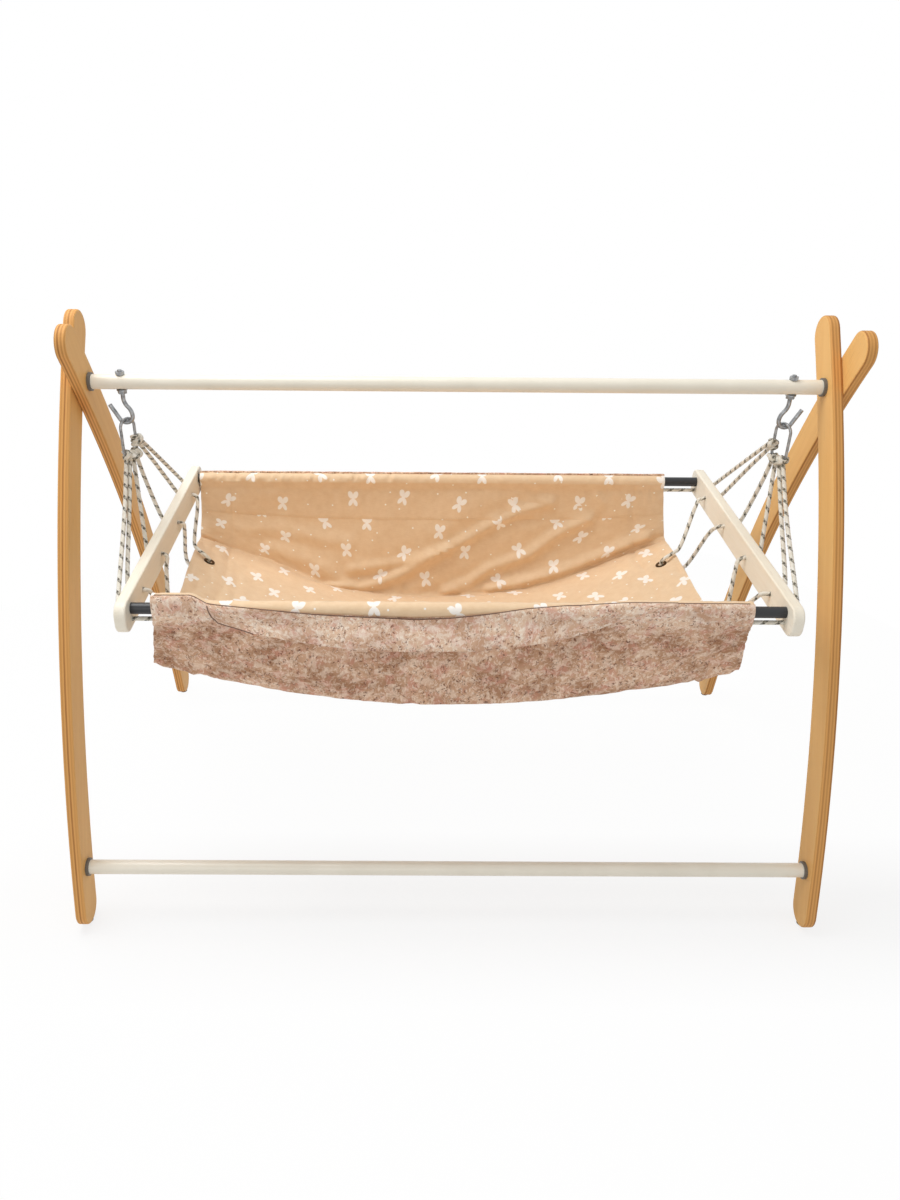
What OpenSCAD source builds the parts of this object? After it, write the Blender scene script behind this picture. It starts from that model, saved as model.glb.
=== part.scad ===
// Swinging cradle on a folding stand.
// Two pairs of bowed plywood legs cross at the ends of a steel rod. A hook under each end of the
// rod carries an oval ring, and ropes from the rings carry a cloth trough between two wooden
// spreaders. Millimetres, +Z up, X along the rods, front at -Y.
// The origin is on the floor, under the middle of the top rod.

/* [Stand] */
// Clear length between the two inner legs, filled by the top rod
rod_length = 1200; // [1100:10:1300]
// Height of the top rod's axis above the floor
rod_height = 845; // [800:5:900]
// Height of the lower rods' axes above the floor
low_rod_height = 106; // [90:2:140]
// Outside diameter of the steel rods
rod_d = 24; // [20:1:30]
// Wall of the steel rods
rod_wall = 1.5; // [1:0.5:2.5]
// Width of a leg board across its bow
leg_w = 60; // [50:2:70]
// Thickness of the plywood
leg_t = 18; // [15:1:24]
// Lean of each leg from upright where the legs cross
leg_angle = 34; // [30:1:36]
// Bow radius along the middle of a leg
leg_bow = 2400; // [2200:50:2800]
// Length of leg above the crossing, to the middle of its round head
head_length = 90; // [70:5:110]
// Rounding of the boards' long edges
leg_round = 3; // [2:0.5:5]
// Diameter of the furniture bolts
bolt_d = 8; // [6:1:10]
// Depth of thread that a bolt has in a rod
bolt_grip = 20; // [12:1:24]
// Diameter of the floor glides
glide_d = 15; // [12:1:18]
// Height of the floor glides under the boards
glide_h = 4; // [3:0.5:6]

/* [Hooks and rings] */
// Distance from the inner leg to the hook's shank
hook_inset = 52; // [44:2:60]
// Diameter of the hook's wire
hook_wire = 7; // [6:0.5:7.5]
// Middle of the hook's bowl below the top rod's axis
hook_drop = 57; // [54:1:66]
// Radius of the hook's bowl, along the wire
hook_bowl_r = 11.5; // [11:0.5:13]
// Diameter of the ring's wire
ring_wire = 5; // [4:0.5:5]
// Half width of the oval ring, along the wire
ring_half_w = 14.5; // [14:0.5:16]
// Height of the oval ring, along the wire
ring_h = 65; // [60:1:72]

/* [Cradle frame] */
// Height of the two tubes' axes above the floor
tube_height = 572; // [540:4:590]
// Distance between the two tubes
tube_spacing = 532; // [480:4:560]
// Length of the tubes, between the two spreaders
tube_length = 1000; // [980:5:1010]
// Diameter of the tubes
tube_d = 18; // [16:1:20]
// Wall of the tubes
tube_wall = 1.5; // [1:0.5:2]
// Thickness of the spreader boards
spreader_t = 18; // [15:1:21]
// Height of the spreader boards
spreader_h = 50; // [46:1:56]
// Length of spreader past each tube's axis
spreader_over = 34; // [26:1:44]
// Axes of the tubes above the middle of the spreaders
tube_rise = 6; // [4:1:8]

/* [Ropes] */
// Diameter of the rope
rope_d = 6.5; // [5:0.5:7]
// Distance between the rope holes beside the middle of a spreader
hole_step_in = 130; // [110:5:150]
// Distance between the outer two of the four middle holes
hole_step_out = 390; // [350:5:410]
// Clearance all round a rope in its hole
rope_clear = 1.2; // [1:0.1:2]
// Depth of the outermost holes under the tubes' axes
end_hole_drop = 18; // [16:1:20]
// Distance of the eyelets from the cloth's end edges
eyelet_inset = 30; // [26:1:36]
// Distance between the two eyelets at an end of the cloth
eyelet_spacing = 260; // [220:5:300]

/* [Cloth] */
// Length of the cloth along the front tube
cloth_front = 914; // [860:5:930]
// Length of the cloth along the back tube
cloth_back = 930; // [860:5:940]
// Offset of the cloth's middle from the cradle's middle, at the front tube
shift_front = -9; // [-12:1:12]
// Offset of the cloth's middle from the cradle's middle, at the back tube
shift_back = -31; // [-28:1:28]
// Depth of the trough's front under the tube's axis at the ends
front_deep_end = 92; // [80:2:110]
// Extra depth of the trough's front at mid length
front_belly = 78; // [50:2:100]
// Depth of the trough's back under the tube's axis at the ends
back_deep_end = 122; // [100:2:140]
// Extra depth of the trough's back at mid length
back_belly = 105; // [60:5:130]
// Hang of the floor below its two side edges at mid length
floor_sag = 25; // [15:1:40]
// Reach of the floor's ends past the tubes' cloth
end_bulge = 12; // [0:1:20]
// Thickness of the padded lining
lining_t = 5; // [3:0.5:6]
// Thickness of the outer cloth
shell_t = 2.5; // [2:0.5:4]
// Thickness of the sleeves' cloth
sleeve_t = 3; // [2:0.5:4]
// Depth of the facing under the front tube's axis at mid length
facing_deep = 62; // [50:1:70]

/* [Hidden] */
$fn = 64;

// Fits
press = 0.05;      // radial room of a part that is driven or screwed in
running = 0.1;     // radial room of a part that turns
seat = 0.3;        // gap between faces that move past each other, and under soft parts

// Stand: the bow's centre, seen along X, and the angles on it
bow_y = -leg_bow * cos(leg_angle);
bow_z = rod_height - leg_bow * sin(leg_angle);
foot_flat = 1;
foot_phi = asin((leg_w / 2 + glide_h - foot_flat - bow_z) / leg_bow);
head_phi = leg_angle + head_length / leg_bow * 180 / PI;
low_phi = asin((low_rod_height - bow_z) / leg_bow);
low_y = bow_y + leg_bow * cos(low_phi);
foot_y = bow_y + leg_bow * cos(foot_phi);
inner_x = rod_length / 2;            // inside face of the inner boards
outer_x = inner_x + leg_t + seat;    // inside face of the outer boards
bolt_head_d = 2.2 * bolt_d;
bolt_head_t = 4;
plug_l = bolt_grip + 5;
cup_l = 5;
cup_wall = 3;
glide_pin_d = 5;
glide_pin_l = 16;

// Hooks: u runs outwards from the shank, all in the plane Y = 0
hook_x = inner_x - hook_inset;
bowl_z = rod_height - hook_drop;
nut_h = 5.5;
nut_af = 1.86 * hook_wire;
flange_h = 2;
flange_nut_h = 5;
shank_top = rod_height + rod_d / 2 + nut_h + 2.5;
bend_top = bowl_z + 30;
neck_turn = 2 * atan(hook_bowl_r / (bend_top - bowl_z));
neck_r = (bend_top - bowl_z) / 2 / sin(neck_turn);
bowl_turn = 151;
arm_l = 28;
pivot_z = bowl_z - hook_bowl_r;

// Rings hang on the hooks and stand turned about Z
ring_lift = 0.5;
ring_top = pivot_z + hook_wire / 2 + ring_lift + ring_wire / 2;
ring_bottom = ring_top - ring_h;
ring_turn = 57;
rear_knot_z = ring_bottom + 24;
knot_r = ring_wire / 2 + 0.7 * rope_d;
rear_knot_l = 3 * rope_d;
front_knot_l = 4.9 * rope_d;

// Cradle frame
tube_y = tube_spacing / 2;
in_x = tube_length / 2;              // inner faces of the spreaders
out_x = in_x + spreader_t;           // outer faces of the spreaders
spreader_z = tube_height - tube_rise;
spreader_l = tube_spacing + 2 * spreader_over;
spreader_corner = 20;
spreader_round = 3;
hole_d = rope_d + 2 * rope_clear;
end_hole_z = tube_height - end_hole_drop;
hole_y = [tube_y, hole_step_out / 2, hole_step_in / 2, -hole_step_in / 2, -hole_step_out / 2, -tube_y];
function hole_z(i) = i == 0 || i == 5 ? end_hole_z : spreader_z;
screw_d = 5;
screw_head_d = 10;
screw_head_t = 2.5;
screw_grip = 16;
tube_plug_l = 20;

// Cloth
sleeve_r = tube_d / 2 + seat + sleeve_t;
cloth_top = tube_height - sleeve_r - seat;
eyelet_y = [eyelet_spacing / 2, -eyelet_spacing / 2];
eyelet_hole = rope_d / 2 + 2.75;
eyelet_wall = 0.8;
eyelet_rim = eyelet_hole + 5;
eyelet_rim_t = 1;
NS = 24;                             // cloth steps along the cradle
wood = [0.86, 0.68, 0.45];
ivory = [0.94, 0.91, 0.85];
steel = [0.66, 0.67, 0.68];
pale_wood = [0.91, 0.84, 0.73];
rope_colour = [0.86, 0.84, 0.76];
beige = [0.87, 0.70, 0.48];
dusty_pink = [0.70, 0.56, 0.49];

// ---------- shared shapes ----------
// Round bar along X from a to b, at height z and depth y
module bar_x(a, b, d, y = 0, z = 0) {
    translate([min(a, b), y, z]) rotate([0, 90, 0]) cylinder(d = d, h = abs(b - a));
}

module tube_x(a, b, d, bore, y, z) {
    difference() {
        bar_x(a, b, d, y, z);
        bar_x(min(a, b) - 1, max(a, b) + 1, bore, y, z);
    }
}

// An upright oval ring of wire about the origin, width and height along the wire
module oval(half_w, height, d) {
    side_l = height - 2 * half_w;
    for (turn = [0, 180]) rotate([0, turn, 0]) {
        translate([half_w, 0, -side_l / 2]) cylinder(d = d, h = side_l);
        translate([0, 0, side_l / 2]) rotate([90, 0, 0]) rotate_extrude(angle = 180)
            translate([half_w, 0]) circle(d = d);
    }
}

// ---------- the stand ----------
// Section of a leg board from face to face along local Y: its middle is at x = 0, and reach is
// how far it goes to the left of that
module board_section(reach = leg_w / 2) {
    corner = [for (a = [0:22.5:90]) leg_round * [cos(a), sin(a)]];
    x = leg_w / 2 - leg_round;
    y = leg_t - leg_round;
    right = concat([for (k = [len(corner) - 1:-1:0]) [x + corner[k][0], leg_round - corner[k][1]]],
        [for (c = corner) [x + c[0], y + c[1]]]);
    left = reach == 0 ? [[0, leg_t], [0, 0]]
        : [for (k = [len(right) - 1:-1:0]) [-right[k][0], right[k][1]]];
    polygon(concat(right, left));
}

// A bowed leg whose plywood fills x = 0 to leg_t and which leans towards +Y
module leg_blank() {
    translate([0, bow_y, bow_z]) rotate([90, 0, 90]) {
        rotate([0, 0, foot_phi]) rotate_extrude(angle = head_phi - foot_phi, $fn = 720)
            translate([leg_bow, 0]) board_section();
        for (end = [[foot_phi, 180], [head_phi, 0]])
            rotate([0, 0, end[0]]) translate([leg_bow, 0, 0]) rotate([0, 0, end[1]])
                rotate_extrude(angle = 180) board_section(reach = 0);
    }
}

// side is +1 for a rear leg and -1 for a front leg, x0 its lower face in X
module leg(side, x0) {
    color(wood) difference() {
        translate([x0, 0, 0]) mirror([0, side < 0 ? 1 : 0, 0]) leg_blank();
        bar_x(x0 - 1, x0 + leg_t + 1, bolt_d + 2 * running, 0, rod_height);
        bar_x(x0 - 1, x0 + leg_t + 1, bolt_d + 2 * running, side * low_y, low_rod_height);
        translate([x0 - 1, side * foot_y - leg_w, glide_h - 50]) cube([leg_t + 2, 2 * leg_w, 50]);
        translate([x0 + leg_t / 2, side * foot_y, 0]) cylinder(d = glide_pin_d + 2 * press, h = glide_pin_l + glide_h + 1);
    }
}

module front_left_leg() { leg(-1, -outer_x - leg_t); }
module front_right_leg() { leg(-1, inner_x); }
module rear_left_leg() { leg(1, -inner_x - leg_t); }
module rear_right_leg() { leg(1, outer_x); }

// ends = [left end, right end] of each rod
top_ends = [-inner_x + seat, inner_x];
front_ends = [-outer_x, inner_x];
rear_ends = [-inner_x, outer_x];

module rod(ends, y, z) {
    color(ivory) tube_x(ends[0], ends[1], rod_d, rod_d - 2 * rod_wall, y, z);
}

module top_rod() {
    color(ivory) difference() {
        rod(top_ends, 0, rod_height);
        for (x = [-hook_x, hook_x])
            translate([x, 0, rod_height - rod_d]) cylinder(d = hook_wire + 2 * running, h = 2 * rod_d);
    }
}
module front_lower_rod() { rod(front_ends, -low_y, low_rod_height); }
module rear_lower_rod() { rod(rear_ends, low_y, low_rod_height); }

// Threaded plugs driven into both ends of a rod
module plugs(ends, y, z) {
    color(steel) for (e = [[ends[0], 1], [ends[1], -1]])
        tube_x(e[0], e[0] + e[1] * plug_l, rod_d - 2 * rod_wall - 2 * press, bolt_d + 2 * press, y, z);
}
module top_rod_plugs() { plugs(top_ends, 0, rod_height); }
module front_rod_plugs() { plugs(front_ends, -low_y, low_rod_height); }
module rear_rod_plugs() { plugs(rear_ends, low_y, low_rod_height); }

// Steel cups round the rod ends, against the boards
module cups(ends, y, z) {
    color(steel) for (e = [[ends[0], 1], [ends[1], -1]])
        tube_x(e[0], e[0] + e[1] * cup_l, rod_d + 2 * cup_wall, rod_d + 2 * press, y, z);
}
module top_rod_cups() { cups(top_ends, 0, rod_height); }
module front_rod_cups() { cups(front_ends, -low_y, low_rod_height); }
module rear_rod_cups() { cups(rear_ends, low_y, low_rod_height); }

// A bolt from a head outside the board at x into a rod; dir points from the head to the rod
module bolt(x, dir, length, y, z) {
    color(steel) {
        bar_x(x, x + dir * length, bolt_d, y, z);
        difference() {
            bar_x(x - dir * bolt_head_t, x, bolt_head_d, y, z);
            translate([x - dir * bolt_head_t, y, z]) rotate([0, 90, 0])
                cylinder(d = bolt_d * 0.7, h = bolt_head_t, $fn = 6, center = true);
        }
    }
}
module left_pivot_bolt() {
    head = -outer_x - leg_t;
    bolt(head, 1, top_ends[0] + bolt_grip - head, 0, rod_height);
}
module right_pivot_bolt() {
    head = outer_x + leg_t + seat;
    bolt(head, -1, head - top_ends[1] + bolt_grip, 0, rod_height);
}
module front_rod_bolts() {
    bolt(-outer_x - leg_t, 1, leg_t + bolt_grip, -low_y, low_rod_height);
    bolt(inner_x + leg_t, -1, leg_t + bolt_grip, -low_y, low_rod_height);
}
module rear_rod_bolts() {
    bolt(-inner_x - leg_t, 1, leg_t + bolt_grip, low_y, low_rod_height);
    bolt(outer_x + leg_t, -1, leg_t + bolt_grip, low_y, low_rod_height);
}

module glide(x, y) {
    color([0.12, 0.12, 0.12]) translate([x, y, 0]) {
        cylinder(d = glide_d, h = glide_h);
        translate([0, 0, glide_h]) cylinder(d = glide_pin_d, h = glide_pin_l);
    }
}
module front_glides() {
    for (x = [-outer_x - leg_t / 2, inner_x + leg_t / 2]) glide(x, -foot_y);
}
module rear_glides() {
    for (x = [-inner_x - leg_t / 2, outer_x + leg_t / 2]) glide(x, foot_y);
}

// ---------- hooks and rings ----------
// Bend of a wire in the plane Y = 0 about [x, z], from angle a0 to a1 counted from +X up
module bend(x, z, r, a0, a1, d) {
    translate([x, 0, z]) rotate([90, 0, 0]) rotate([0, 0, a0])
        rotate_extrude(angle = a1 - a0) translate([r, 0]) circle(d = d);
}

// Right-hand hook; the left one is its mirror image. Each thinner stretch is let into the next.
module hook() {
    lap = 0.3;
    lap_turn = lap / neck_r * 180 / PI;
    rise = 180 + bowl_turn;
    color(steel) translate([hook_x, 0, 0]) {
        translate([0, 0, bend_top]) cylinder(d = hook_wire, h = shank_top - bend_top);
        bend(-neck_r, bend_top, neck_r, -neck_turn - lap_turn, lap_turn, hook_wire - 0.1);
        bend(neck_r - hook_bowl_r, bowl_z, neck_r, 180 - neck_turn, 180 + lap_turn, hook_wire - 0.05);
        bend(0, bowl_z, hook_bowl_r, 180, rise, hook_wire);
        translate([hook_bowl_r * cos(rise), 0, bowl_z + hook_bowl_r * sin(rise)])
            rotate([0, 180 - bowl_turn, 0]) translate([0, 0, -lap]) cylinder(d = hook_wire - 0.1, h = arm_l + lap);
    }
}
module left_hook() { mirror([1, 0, 0]) hook(); }
module right_hook() { hook(); }

module hook_top_nuts() {
    color(steel) for (x = [-hook_x, hook_x])
        translate([x, 0, rod_height + rod_d / 2]) difference() {
            cylinder(d = nut_af / cos(30), h = nut_h, $fn = 6);
            translate([0, 0, -1]) cylinder(d = hook_wire + 2 * press, h = nut_h + 2);
        }
}
module hook_flange_nuts() {
    color(steel) for (x = [-hook_x, hook_x])
        translate([x, 0, rod_height - rod_d / 2]) mirror([0, 0, 1]) difference() {
            union() {
                cylinder(d = nut_af * 1.32, h = flange_h);
                cylinder(d = nut_af / cos(30), h = flange_h + flange_nut_h, $fn = 6);
            }
            translate([0, 0, -1]) cylinder(d = hook_wire + 2 * press, h = flange_h + flange_nut_h + 2);
        }
}

// A ring hangs from its top in its own XZ plane; grow widens its wire
module ring_shape(grow = 0) {
    translate([0, 0, -ring_h / 2]) oval(ring_half_w, ring_h, ring_wire + 2 * grow);
}

// Stands a thing at a ring's top, turned so that local +X points inwards and to the back
module at_ring(side) {
    translate([side * hook_x, 0, ring_top]) mirror([side > 0 ? 1 : 0, 0, 0]) rotate([0, 0, ring_turn]) children();
}
module left_ring() { color(steel) at_ring(-1) ring_shape(); }
module right_ring() { color(steel) at_ring(1) ring_shape(); }

// A knot is a rounded barrel of rope wrapped round the ring's wire
module barrel(length) {
    rotate_extrude() difference() {
        union() {
            translate([0, -length / 2 + knot_r / 2]) square([knot_r, length - knot_r]);
            translate([0, -length / 2]) square([knot_r / 2, length]);
            for (z = [-1, 1]) translate([knot_r / 2, z * (length / 2 - knot_r / 2)]) circle(r = knot_r / 2);
        }
        translate([-2 * knot_r, -length]) square([2 * knot_r, 2 * length]);
    }
}
module rear_knot(side) {
    color(rope_colour) at_ring(side) difference() {
        translate([ring_half_w, 0, rear_knot_z - ring_top]) barrel(rear_knot_l);
        ring_shape(grow = seat);
    }
}
module front_knot(side) {
    color(rope_colour) at_ring(side) difference() {
        translate([0, 0, -ring_h]) rotate([0, 90, 0]) barrel(front_knot_l);
        ring_shape(grow = seat);
    }
}
module left_rear_knot() { rear_knot(-1); }
module right_rear_knot() { rear_knot(1); }
module left_front_knot() { front_knot(-1); }
module right_front_knot() { front_knot(1); }

// ---------- the cloth's surface ----------
function mix(a, b, t) = a + (b - a) * t;
function unit(v) = v / norm(v);
function front_z(s) = tube_height - front_deep_end - front_belly * (1 - s * s);
function back_z(s) = tube_height - back_deep_end - back_belly * (1 - s * s);
function floor_z(s) = (front_z(s) + back_z(s)) / 2 - floor_sag * (1 - s * s) + 5 * s * s;

// Section of the trough at s, from the back tube down, along the floor and up to the front tube
function section(s) = [
    [tube_y, cloth_top],
    [tube_y - 2, mix(cloth_top, back_z(s), 0.35)],
    [tube_y - 7, mix(cloth_top, back_z(s), 0.75)],
    [tube_y - 17, back_z(s)],
    [tube_y - 60, mix(back_z(s), floor_z(s), 0.28) - 6 * (1 - s * s)],
    [tube_y * 0.38, mix(back_z(s), floor_z(s), 0.8) - 3 * (1 - s * s)],
    [0, floor_z(s)],
    [-tube_y * 0.38, mix(front_z(s), floor_z(s), 0.8) - 3 * (1 - s * s)],
    [-tube_y + 60, mix(front_z(s), floor_z(s), 0.28) - 6 * (1 - s * s)],
    [-tube_y + 17, front_z(s)],
    [-tube_y + 7, mix(cloth_top, front_z(s), 0.75)],
    [-tube_y + 2, mix(cloth_top, front_z(s), 0.35)],
    [-tube_y, cloth_top]];
SECTION_LAST = 12;

function clamp_index(i, last) = max(0, min(last, i));
function spline(p, t) =
    let (last = len(p) - 1, i = min(floor(t), last - 1), f = t - i,
        a = p[clamp_index(i - 1, last)], b = p[i], c = p[i + 1], d = p[clamp_index(i + 2, last)])
    0.5 * (2 * b + (c - a) * f + (2 * a - 5 * b + 4 * c - d) * f * f + (3 * b - a - 3 * c + d) * f * f * f);

// Main folds: long waves across the back panel and one slack roll along the front panel
function fold(s, t) =
    t < 3 ? 5 * sin(180 * t / 3) * sin(360 * (0.9 * s + 0.22 * t)) * (1 - s * s)
    : t > 9 ? 5 * sin(180 * (t - 9) / 3) * cos(300 * s)
    : 4 * sin(180 * (t - 3) / 6) * sin(500 * s) * (1 - s * s);

function end_reach(y) = end_bulge * (1 - pow(2 * y / tube_spacing, 2));
function cloth_left(y) =
    mix(shift_front - cloth_front / 2, shift_back - cloth_back / 2, y / tube_spacing + 0.5) - end_reach(y);
function cloth_right(y) =
    mix(shift_front + cloth_front / 2, shift_back + cloth_back / 2, y / tube_spacing + 0.5) + end_reach(y);
function on_cloth(s, t) =
    let (p = spline(section(s), t))
    [mix(cloth_left(p[0]), cloth_right(p[0]), (s + 1) / 2), p[0], p[1]];
function raw_normal(s, t) =
    let (e = 0.02, s0 = max(-1, s - e), s1 = min(1, s + e), t0 = max(0, t - e), t1 = min(SECTION_LAST, t + e))
    unit(cross(on_cloth(s1, t) - on_cloth(s0, t), on_cloth(s, t0) - on_cloth(s, t1)));
// Point at distance h from the cloth's middle surface, towards the inside of the trough
function cloth_point(s, t, h) = on_cloth(s, t) + (h + fold(s, t)) * raw_normal(s, t);

CLOTH_T = [0, 0.6, 1.2, 1.8, 2.4, 2.8, 3.2, 3.7, 4.3, 4.8, 5.4, 6, 6.6, 7.2, 7.7, 8.3, 8.8, 9.2, 9.6, 10.2,
    10.8, 11.4, 12];

// A layer of cloth from h0 to h1
module layer(h0, h1) {
    nt = len(CLOTH_T);
    row = NS + 1;
    pts = [for (h = [h0, h1], t = CLOTH_T, i = [0:NS]) cloth_point(2 * i / NS - 1, t, h)];
    top = nt * row;
    faces = [
        for (k = [0:nt - 2], i = [0:NS - 1]) let (a = k * row + i, b = a + row)
            each [[a, b, a + 1], [a + 1, b, b + 1],
                [top + a, top + a + 1, top + b], [top + a + 1, top + b + 1, top + b]],
        for (i = [0:NS - 1]) let (b = (nt - 1) * row + i)
            each [[i, i + 1, top + i], [i + 1, top + i + 1, top + i],
                [b, top + b, b + 1], [b + 1, top + b, top + b + 1]],
        for (k = [0:nt - 2]) let (a = k * row, b = a + NS)
            each [[a, top + a, a + row], [a + row, top + a, top + a + row],
                [b, b + row, top + b], [b + row, top + b + row, top + b]]];
    polyhedron(pts, faces);
}

// Places on the cloth of one side's eyelets: [middle, axis towards the inside of the trough]
function find_t(y, lo = 3, hi = 9, n = 24) = n == 0 ? (lo + hi) / 2
    : let (m = (lo + hi) / 2) spline(section(1), m)[0] > y ? find_t(y, m, hi, n - 1) : find_t(y, lo, m, n - 1);
function eyelet_s(side, y) = side * (1 - 2 * eyelet_inset / (cloth_right(y) - cloth_left(y)));
function eyelet_at(side, i) =
    let (y = eyelet_y[i], s = eyelet_s(side, y), t = find_t(y))
    [cloth_point(s, t, (lining_t - shell_t) / 2), cloth_axis(s, t)];
// Direction square to the folded cloth around an eyelet
function cloth_axis(s, t) =
    let (e = 0.05)
    unit(cross(cloth_point(s + e, t, 0) - cloth_point(s - e, t, 0), cloth_point(s, t - e, 0) - cloth_point(s, t + e, 0)));

module along(axis) {
    rotate([0, acos(axis[2]), atan2(axis[1], axis[0])]) children();
}
module eyelet_holes() {
    for (side = [-1, 1], i = [0, 1]) let (e = eyelet_at(side, i))
        translate(e[0]) along(e[1]) cylinder(r = eyelet_hole + eyelet_wall + running, h = 40, center = true, $fn = 24);
}
module eyelets(side) {
    half = (lining_t + shell_t) / 2 + seat;
    color([0.25, 0.19, 0.13]) for (i = [0, 1]) let (e = eyelet_at(side, i))
        translate(e[0]) along(e[1]) rotate_extrude() {
            translate([eyelet_hole, -half - eyelet_rim_t]) square([eyelet_wall, 2 * (half + eyelet_rim_t)]);
            for (z = [half, -half - eyelet_rim_t])
                translate([eyelet_hole, z]) square([eyelet_rim - eyelet_hole, eyelet_rim_t]);
        }
}
module left_eyelets() { eyelets(-1); }
module right_eyelets() { eyelets(1); }
module lining() { color(beige) difference() { layer(seat / 2, lining_t); eyelet_holes(); } }
module outer_cloth() { color(dusty_pink) difference() { layer(-shell_t, -seat / 2); eyelet_holes(); } }

module sleeve(y) {
    tube_x(cloth_left(y), cloth_right(y), 2 * sleeve_r, tube_d + 2 * seat, y, tube_height);
}
module front_sleeve() { color(beige) sleeve(-tube_y); }
module back_sleeve() { color(beige) sleeve(tube_y); }

// Facing of the front sleeve: a flap from the sleeve's crown down over the front panel
facing_t = 2;
facing_left = 84;      // bare length of sleeve at the left
facing_right = 117;    // and at the right
facing_end_deep = 9;   // depth of its ends
function facing_drop(s) = mix(facing_end_deep, facing_deep, 1 - s * s);
function facing_line(s, r) = concat(
    [for (a = [110:14:180]) [-tube_y + r * cos(a), tube_height + r * sin(a)]],
    [for (k = [1:4]) [-tube_y - r - 1.5 * sin(45 * k) * cos(400 * s), tube_height - facing_drop(s) * k / 4]]);
module front_facing() {
    n = 20;
    x0 = cloth_left(-tube_y) + facing_left;
    x1 = cloth_right(-tube_y) - facing_right;
    r0 = sleeve_r + seat;
    np = len(facing_line(0, r0));
    pts = [for (r = [r0, r0 + facing_t], k = [0:np - 1], i = [0:n])
        let (s = 2 * i / n - 1, p = facing_line(s, r)[k]) [mix(x0, x1, i / n), p[0], p[1]]];
    row = n + 1;
    top = np * row;
    faces = [
        for (k = [0:np - 2], i = [0:n - 1]) let (a = k * row + i, b = a + row)
            each [[a, b, a + 1], [a + 1, b, b + 1],
                [top + a, top + a + 1, top + b], [top + a + 1, top + b + 1, top + b]],
        for (i = [0:n - 1]) let (b = (np - 1) * row + i)
            each [[i, i + 1, top + i], [i + 1, top + i + 1, top + i],
                [b, top + b, b + 1], [b + 1, top + b, top + b + 1]],
        for (k = [0:np - 2]) let (a = k * row, b = a + n)
            each [[a, top + a, a + row], [a + row, top + a, top + a + row],
                [b, b + row, top + b], [b + row, top + b + row, top + b]]];
    color(dusty_pink) polyhedron(pts, faces);
}

// ---------- the cradle's frame ----------
module spreader(side) {
    r = spreader_corner;
    color(pale_wood) difference() {
        translate([side > 0 ? in_x : -out_x, 0, spreader_z]) hull()
            for (y = [-1, 1], z = [-1, 1])
                translate([0, y * (spreader_l / 2 - r), z * (spreader_h / 2 - r)]) rotate([90, 0, 90])
                    rotate_extrude($fn = 32) {
                        translate([0, spreader_round]) square([r, spreader_t - 2 * spreader_round]);
                        square([r - spreader_round, spreader_t]);
                        for (w = [spreader_round, spreader_t - spreader_round])
                            translate([r - spreader_round, w]) circle(r = spreader_round, $fn = 16);
                    }
        for (i = [0:5]) bar_x(side * (in_x - 1), side * (out_x + 1), hole_d, hole_y[i], hole_z(i));
        for (y = [-tube_y, tube_y]) bar_x(side * (in_x - 1), side * (out_x + 1), screw_d + 2 * running, y, tube_height);
    }
}
module left_spreader() { spreader(-1); }
module right_spreader() { spreader(1); }

module cradle_tube(y) {
    color([0.14, 0.14, 0.15]) tube_x(-in_x, in_x, tube_d, tube_d - 2 * tube_wall, y, tube_height);
}
module front_tube() { cradle_tube(-tube_y); }
module back_tube() { cradle_tube(tube_y); }

module tube_plugs() {
    color([0.2, 0.2, 0.2]) for (side = [-1, 1], y = [-tube_y, tube_y])
        tube_x(side * in_x, side * (in_x - tube_plug_l), tube_d - 2 * tube_wall - 2 * press, screw_d + 2 * press, y, tube_height);
}
module tube_screws() {
    color(steel) for (side = [-1, 1], y = [-tube_y, tube_y]) {
        bar_x(side * (in_x - screw_grip), side * out_x, screw_d, y, tube_height);
        bar_x(side * out_x, side * (out_x + screw_head_t), screw_head_d, y, tube_height);
    }
}

// ---------- ropes ----------
// Routes of the right-hand ropes outside the spreader, from a knot to a hole, back to front
OUTSIDE = [
    [[540, 18, 747], [534, 95, 687], [525, 248, 568], [524, 259, 558], [520, 265, 554]],
    [[540, 18, 738], [534, 80, 678], [526, 177, 582], [525, 188, 572], [521, 194, 566]],
    [[542, 10, 713], [538, 24, 670], [527, 56, 584], [525, 62, 573], [521, 65, 566]],
    [[546, 3, 712], [540, -16, 668], [527, -56, 584], [525, -62, 573], [521, -65, 566]],
    [[550, -4, 712], [540, -75, 658], [527, -178, 582], [525, -188, 572], [521, -194, 566]],
    [[554, -11, 716], [543, -95, 656], [526, -248, 566], [524, -259, 557], [520, -265, 554]]];
// Where those points were chosen: a ring's bottom, and the outer ends of a spreader's holes
CHOSEN_RING = [548, 0, 718];
CHOSEN_HOLES = [[518, 266, 554], [518, 195, 566], [518, 65, 566], [518, -65, 566], [518, -195, 566],
    [518, -266, 554]];

// Routes of the slings inside the spreaders, x outwards: from the middle of the upper hole,
// round an eyelet from above to below, and to the middle of the hole nearer the middle
FROM_HOLE = [[[-1, 0, 0], [-9, -2, -3], [-11, -10, -16]], [[-1, 0, 0], [-12, -2, -2], [-19, -9, -14]]];
THREAD = [
    [[27, 18, 30], [20, 12, 24], [5, 1, 17], [-2, 0, 9], [-1, 0, 2], [2, 0, -4], [6, -1, -7],
        [16, -2, -7], [28, -6, -4], [36, -12, 6], [36, -25, 31]],
    [[33, 17, 29], [23, 11, 24], [5, 1, 17], [-2, 0, 9], [-1, 0, 2], [2, 0, -4], [6, -1, -7],
        [16, -2, -7], [28, -8, -4], [40, -14, 6]]];
TO_HOLE = [[[-8, 10, -20], [-9, 2, -4], [-1, 0, 0]], [[-19, 15, -20], [-12, 3, -4], [-1, 0, 0]]];

function reversed(pts) = [for (k = [len(pts) - 1:-1:0]) pts[k]];
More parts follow.
